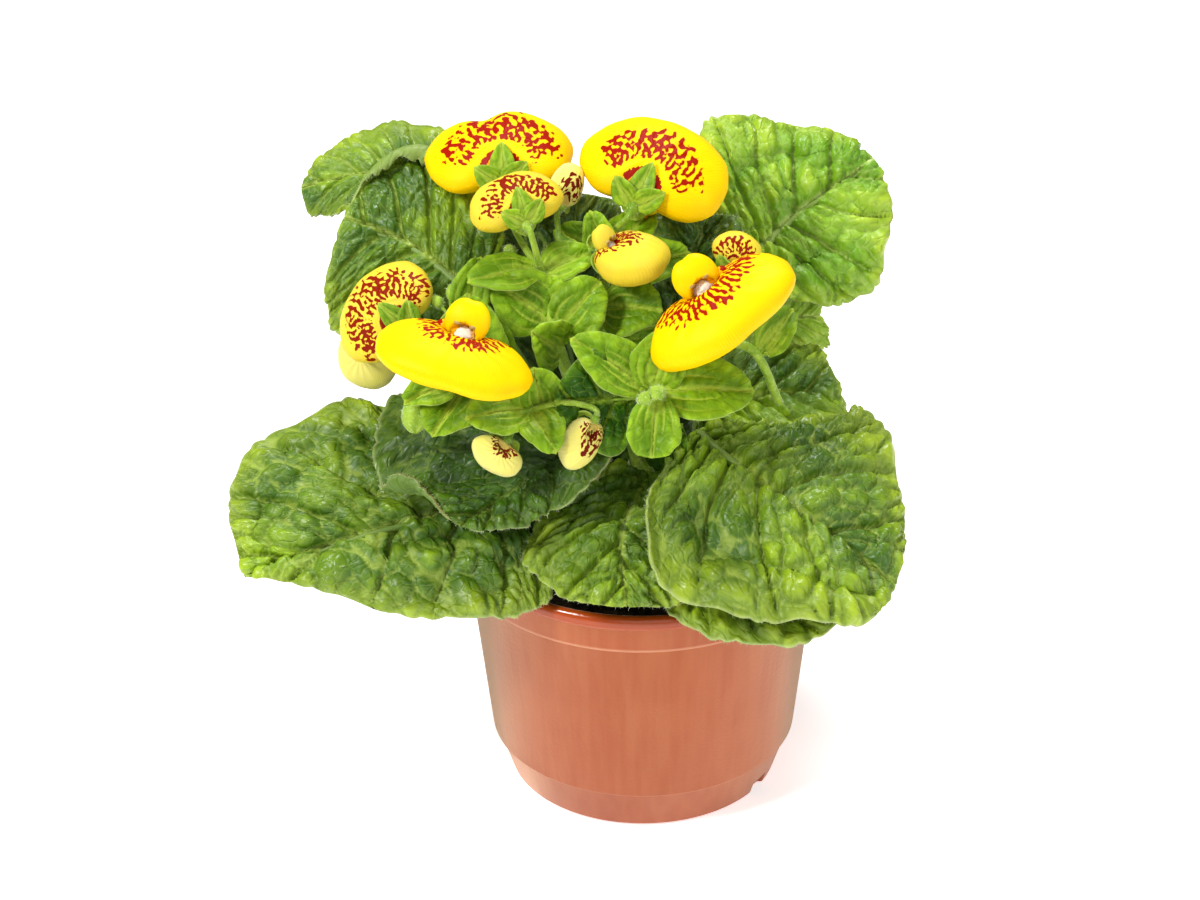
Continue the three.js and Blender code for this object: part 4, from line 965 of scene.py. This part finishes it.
# ---------------------------------------------------------------------------------- flowering stems
# Juicy stalks, thin-walled and downy, with opposite pointed leaves. Each bloom hangs by its own stalk
# from a green calyx of pointed sepals, and unopened buds sit in the forks.
HAIRS = 1500
HAIRS_FROM = 0.11  # metres over the table, where the stalks come out from between the leaves
STEM_LEAF_THICKNESS, SEPAL_THICKNESS = 0.5, 0.45
POINTED = [(0.1, 0.52), (0.34, 1), (0.62, 0.88), (0.86, 0.43)]  # how broad a leaf is along its length
BLUNT = [(0.14, 0.5), (0.4, 0.85), (0.68, 1), (0.9, 0.66)]
RIM_PALE = "#b4c458"
STEMS = dict(
    # stalks: radius, way; leaves: foot, tip, the way the face looks, width; buds: place, radius;
    # holds: the way of each bloom's own stalk
    stem_centre=dict(
        stalks=[
            (2, [(-4, -3, 68), (-14, -12, 120), (-26, -24, 168), (-31, -14, 188)]),
        ],
        leaves=[
            ((-33, -14, 188), (-54, -22, 188), (0, -0.4, 0.9), 12),
            ((-29, -14, 188), (-14, -9, 192), (0, -0.5, 0.85), 11),
            ((-28, -21, 174), (-46, -19, 187), (0.1, -0.8, 0.6), 18),
            ((-25, -24, 172), (-12, -19, 187), (-0.2, -0.85, 0.5), 18),
            ((-26, -26, 164), (-34, -36, 178), (0.2, -0.85, 0.5), 13),
        ],
        buds=[((-41, -4, 191), 1.9), ((-29, -7, 191), 2.2)],
        holds=dict(
            bloom_upper_left=[(-31, -14, 188)],
            bloom_top_left=[(-31, -14, 188), (-39, -2, 196)],
            bud_top=[(-31, -14, 188), (-26, 0, 192)],
        ),
    ),
    stem_right=dict(
        stalks=[
            (2, [(3, -2, 68), (-2, -8, 120), (-12, -16, 165), (-11, -5, 187)]),
            (1.5, [(-4, -10, 130), (12, -14, 152), (24, -20, 172)]),
            (1.5, [(20, -18, 166), (34, -24, 166), (44, -19, 144)]),
        ],
        leaves=[
            ((-12, -6, 187), (-16, 0, 203), (0.2, -0.9, 0.3), 7),
            ((-11, -3, 189), (-27, 6, 194), (0, -0.6, 0.8), 9),
            ((-9, -2, 190), (4, 12, 197), (0, -0.6, 0.8), 11),
            ((-11, -15, 176), (7, -22, 178), (0, -0.7, 0.7), 18),
            ((-9, -8, 184), (16, 0, 188), (0, -0.7, 0.7), 13),
            ((26, -16, 176), (16, -10, 190), (0.1, -0.85, 0.5), 11),
            ((27, -14, 178), (38, 2, 190), (0, -0.85, 0.5), 9),
            ((36, -22, 163), (48, -12, 174), (0, -0.8, 0.6), 8),
            ((-9, -12, 168), (8, -8, 166), (0, -0.9, 0.4), 18),
        ],
        buds=[((-14, -20, 183), 1.9)],
        holds=dict(
            bloom_top_right=[(-11, -5, 187), (-9, -1, 195)],
            bloom_centre=[(-11, -5, 187)],
            bloom_right=[(24, -20, 172), (21, -20, 181)],
            bloom_behind_right=[(24, -20, 172), (28, -12, 179)],
        ),
    ),
    stem_left=dict(
        stalks=[
            (2, [(-8, 1, 68), (-24, -6, 120), (-46, -22, 156), (-56, -18, 171)]),
            (1, [(-46, -22, 156), (-58, -36, 160), (-70, -40, 153)]),
        ],
        leaves=[
            ((-51, -30, 170), (-53, -33, 190), (0.1, -0.9, 0.3), 20),
            ((-47, -26, 158), (-44, -28, 178), (0.1, -0.9, 0.3), 13),
            ((-58, -36, 160), (-73, -48, 159), (0, -0.5, 0.85), 9),
            ((-51, -32, 158), (-64, -56, 152), (0, -0.6, 0.8), 18),
            ((-54, -17, 176), (-50, -8, 191), (0, -0.9, 0.4), 9),
        ],
        buds=[((-70, -41, 152), 4.6), ((-59, -12, 180), 2.4), ((-64, -12, 177), 2)],
        holds=dict(
            bloom_left=[(-56, -18, 171), (-62, -22, 172)],
            bloom_front=[(-51, -20, 164), (-52, -32, 176)],
            bloom_left_lower=[(-56, -18, 171), (-70, -6, 167)],
        ),
    ),
    stem_front=dict(
        stalks=[
            (2, [(0, -7, 68), (2, -13, 118), (-6, -31, 145), (2, -42, 160)]),
            (1.5, [(-5, -28, 142), (-24, -38, 150), (-34, -46, 156)]),
            (1.3, [(2, -42, 160), (5, -50, 164), (4, -54, 166)]),
        ],
        leaves=[
            ((1, -43, 164), (-22, -39, 177), (0.15, -0.6, 0.8), 14),
            ((-1, -40, 158), (-27, -49, 160), (-0.1, -0.9, 0.45), 30),
            ((0, -18, 124), (13, -27, 141), (0, -0.9, 0.4), 22),
            ((3, -49, 165), (3, -63, 148), (0, -0.6, 0.8), 13, "blunt"),
            ((6, -46, 162), (35, -42, 160), (0, -0.55, 0.85), 20),
            ((4, -43, 163), (8, -38, 180), (0, -0.9, 0.4), 13),
            ((-36, -46, 156), (-54, -54, 157), (0, -0.6, 0.8), 13),
            ((-33, -48, 156), (-26, -60, 148), (0, -0.6, 0.8), 10),
            ((-30, -42, 156), (-33, -44, 170), (0, -0.8, 0.6), 14),
        ],
        buds=[((5, -56, 167), 2.4), ((1, -56, 165), 2)],
        holds=dict(
            bud_front_left=[(-34, -46, 156), (-38, -49, 156)],
            bud_front_centre=[(-34, -46, 156), (-22, -49, 160)],
        ),
    ),
)


def ovate(base, tip, up, width, arc=1.5, cup=1.5, profile=POINTED, **rest):
    """The control points of a plain leaf between two points."""
    a, b = np.array(base, float), np.array(tip, float)
    along = unit(b - a)
    face = np.array(up, float)
    face = unit(face - along * face.dot(along))
    aside = np.cross(face, along)

    def at(t, s, h):
        return a + (b - a) * t + aside * s * width / 2 + face * (4 * arc * t * (1 - t) + h)

    return dict(
        dict(
            rib=[at(0, 0, 0), at(0.5, 0, 0), at(1, 0, 0)], left=[at(t, w, cup * w) for t, w in profile],
            right=[at(t, -w, cup * w) for t, w in profile], arch=0.8, wave=0.6, waves=1.5, pleat=0.3, teeth=0.25,
            scallops=14,
        ),
        **rest,
    )


def bud(bm, at, radius, out):
    """A closed green bud: four sepals pressed together to a point."""
    new, unitary = ball(bm, 24, 14)
    z = unit(np.array(out, float))
    x = unit(np.cross(z, (0.3, 1, 0.2)))
    px, py, pz = unitary.T
    turn = np.arctan2(py, px)
    grow = 0.9 + 0.16 * np.abs(np.cos(2 * turn))
    high = pz * np.where(pz < 0, 1.12, 1 + 0.3 * pz * (1 - 0.4 * np.abs(np.sin(2 * turn))))
    put(new, at + radius * np.stack([px * grow, py * grow, high], axis=1) @ np.stack([x, np.cross(z, x), z]))


def calyx(greens, leaves, flower, way, seed):
    """The bloom's own stalk, the small bulb at its end, and the pointed sepals round its hinge."""
    axes, hinge = bloom_axes(flower)
    size = min(10, 4 + flower["width"] * 0.13)
    bulb = 0.24 * size
    over, beneath = UPPER_SHARE * flower["thick"] + 1.2, LOWER_SHARE * flower["thick"] + 1.2

    def local(x, y, z):
        return np.array([x, y, z]) @ axes + hinge

    if flower.get("mouth", 1) == -1:
        back = 1
        tips = [(0.1, 1.05, over), (0.85, 0.3, 0.75 * over), (-0.85, 0.25, 0.75 * over), (0, -0.5, -0.5 * size)]
    else:
        back = -1
        tips = [(0, -0.45, 0.8 * size), (0.8, 0.2, -0.7 * beneath), (-0.8, 0.2, -0.7 * beneath), (0, 0.9, -beneath)]
    bud(greens, local(0, -1.3 * bulb, 0), bulb, axes[1])
    stalk(greens, [*way, local(0, -3.1 * bulb, back), local(0, -1.3 * bulb, 0)], (1.15, 1, 1, 1.1), 24, 10)
    for x, y, high in tips[flower.get("hood", 1) == 0 :]:
        side = math.copysign(1, high)
        outward = np.array([0.5 * x, -0.5 if abs(y) < 0.5 else 0, side])
        sepal = ovate(
            local(0, -1.2 * bulb, 0.25 * bulb * side), local(x * size, y * size, high), outward @ axes,
            0.74 * size, 1.1, 0.5, pleat=0, wave=0.25, arch=0.3, teeth=0, flare=0.4,
        )
        leaf_blade(leaves, sepal, 18, 12, 0.12, SEPAL_THICKNESS, 90 + seed, 3, 3.0, nerved=True)


young = leaf_finish(
    "young_leaf", "#547c08", "#7aa40a", "#a6cc24", "#c0d44a", RIM_PALE, "#9cb63c", 0.42, 0.35, 0.00014, 0.16
)
lush = leaf_finish(
    "lush_leaf", "#224a00", "#376a00", "#74a008", "#a8c43a", RIM_PALE, "#8aa83c", 0.34, 0.55, 0.0002, 0.16
)
downy = finish(
    "downy_stalk", Roughness=0.55, Specular_IOR_Level=0.3, Sheen_Weight=0.35, Sheen_Roughness=0.35,
    Sheen_Tint=shade("#f2fadc"),
)
grain = grain_of(downy)
down = clouds(downy, grain, 1400.0)
streaks = clouds(downy, grain, 160.0, 4.0)
green = stains(downy, "#769c18", (streaks, 0.35, 0.68, 1.0, "#a4c23a"), (down, 0.55, 0.75, 0.5, "#d3e39a"))
coat(downy, green, None, down, 0.0002)

for number, (name, stem) in enumerate(STEMS.items()):
    leaves = bmesh.new()
    greens = bmesh.new()
    traced = []
    for radius, points in stem["stalks"]:
        traced.append(through(points, np.linspace(0, 1, 120), False)[0])
        stalk(greens, points, (radius * 1.05, radius * 0.95, radius * 0.85), 30, 12, 0.06)
    traced = np.vstack(traced)

    def nearest(place):
        """The point of the stalks nearest to a place."""
        return traced[np.argmin(np.linalg.norm(traced - place, axis=1))]

    for k, (foot, tip, up, width, *blunt) in enumerate(stem["leaves"]):
        leaf = ovate(nearest(foot), tip, up, width, profile=BLUNT if blunt else POINTED)
        rows, cols = (50, 28) if width > 12 else (34, 20)
        dark = width > 21
        leaf_blade(
            leaves, leaf, rows, cols, 0.65 if dark else 0.35, STEM_LEAF_THICKNESS, 40 + 10 * number + k,
            5, 4.2, nerved=not dark, number=int(dark),
        )
        rib = through(leaf["rib"], np.array([0.0, 0.3, 0.6, 0.92]))[0]
        stalk(greens, rib - unit(np.array(up, float)) * 0.35, (0.9, 0.6, 0.35, 0.15), 16, 8)
    for at, radius in stem["buds"]:
        at = np.array(at, float)
        root = nearest(at)
        stalk(greens, [root, (root + at) / 2 + (0, 0, -0.4), at], (0.75, 0.6, 0.6), 8, 8)
        bud(greens, at, radius, at - root)
    for bloom_name, way in stem["holds"].items():
        calyx(greens, leaves, BLOOMS[bloom_name], way, number)
    pick = random.Random(number + 5)
    faces = [f for f in greens.faces if f.calc_center_median().z > HAIRS_FROM]
    faces.sort(key=lambda f: sorted(tuple(v.co) for v in f.verts))
    places = []
    for _ in range(HAIRS):
        face = pick.choice(faces)
        places.append(comb(pick, face.calc_center_median(), face.normal, *HAIR_LENGTHS))
    stack(greens, hair, places, 1)
    piece(name + "_stalks", greens, [downy, fuzz], "stem_green", name)
    piece(name + "_leaves", leaves, [young, lush], "stem_green", name)
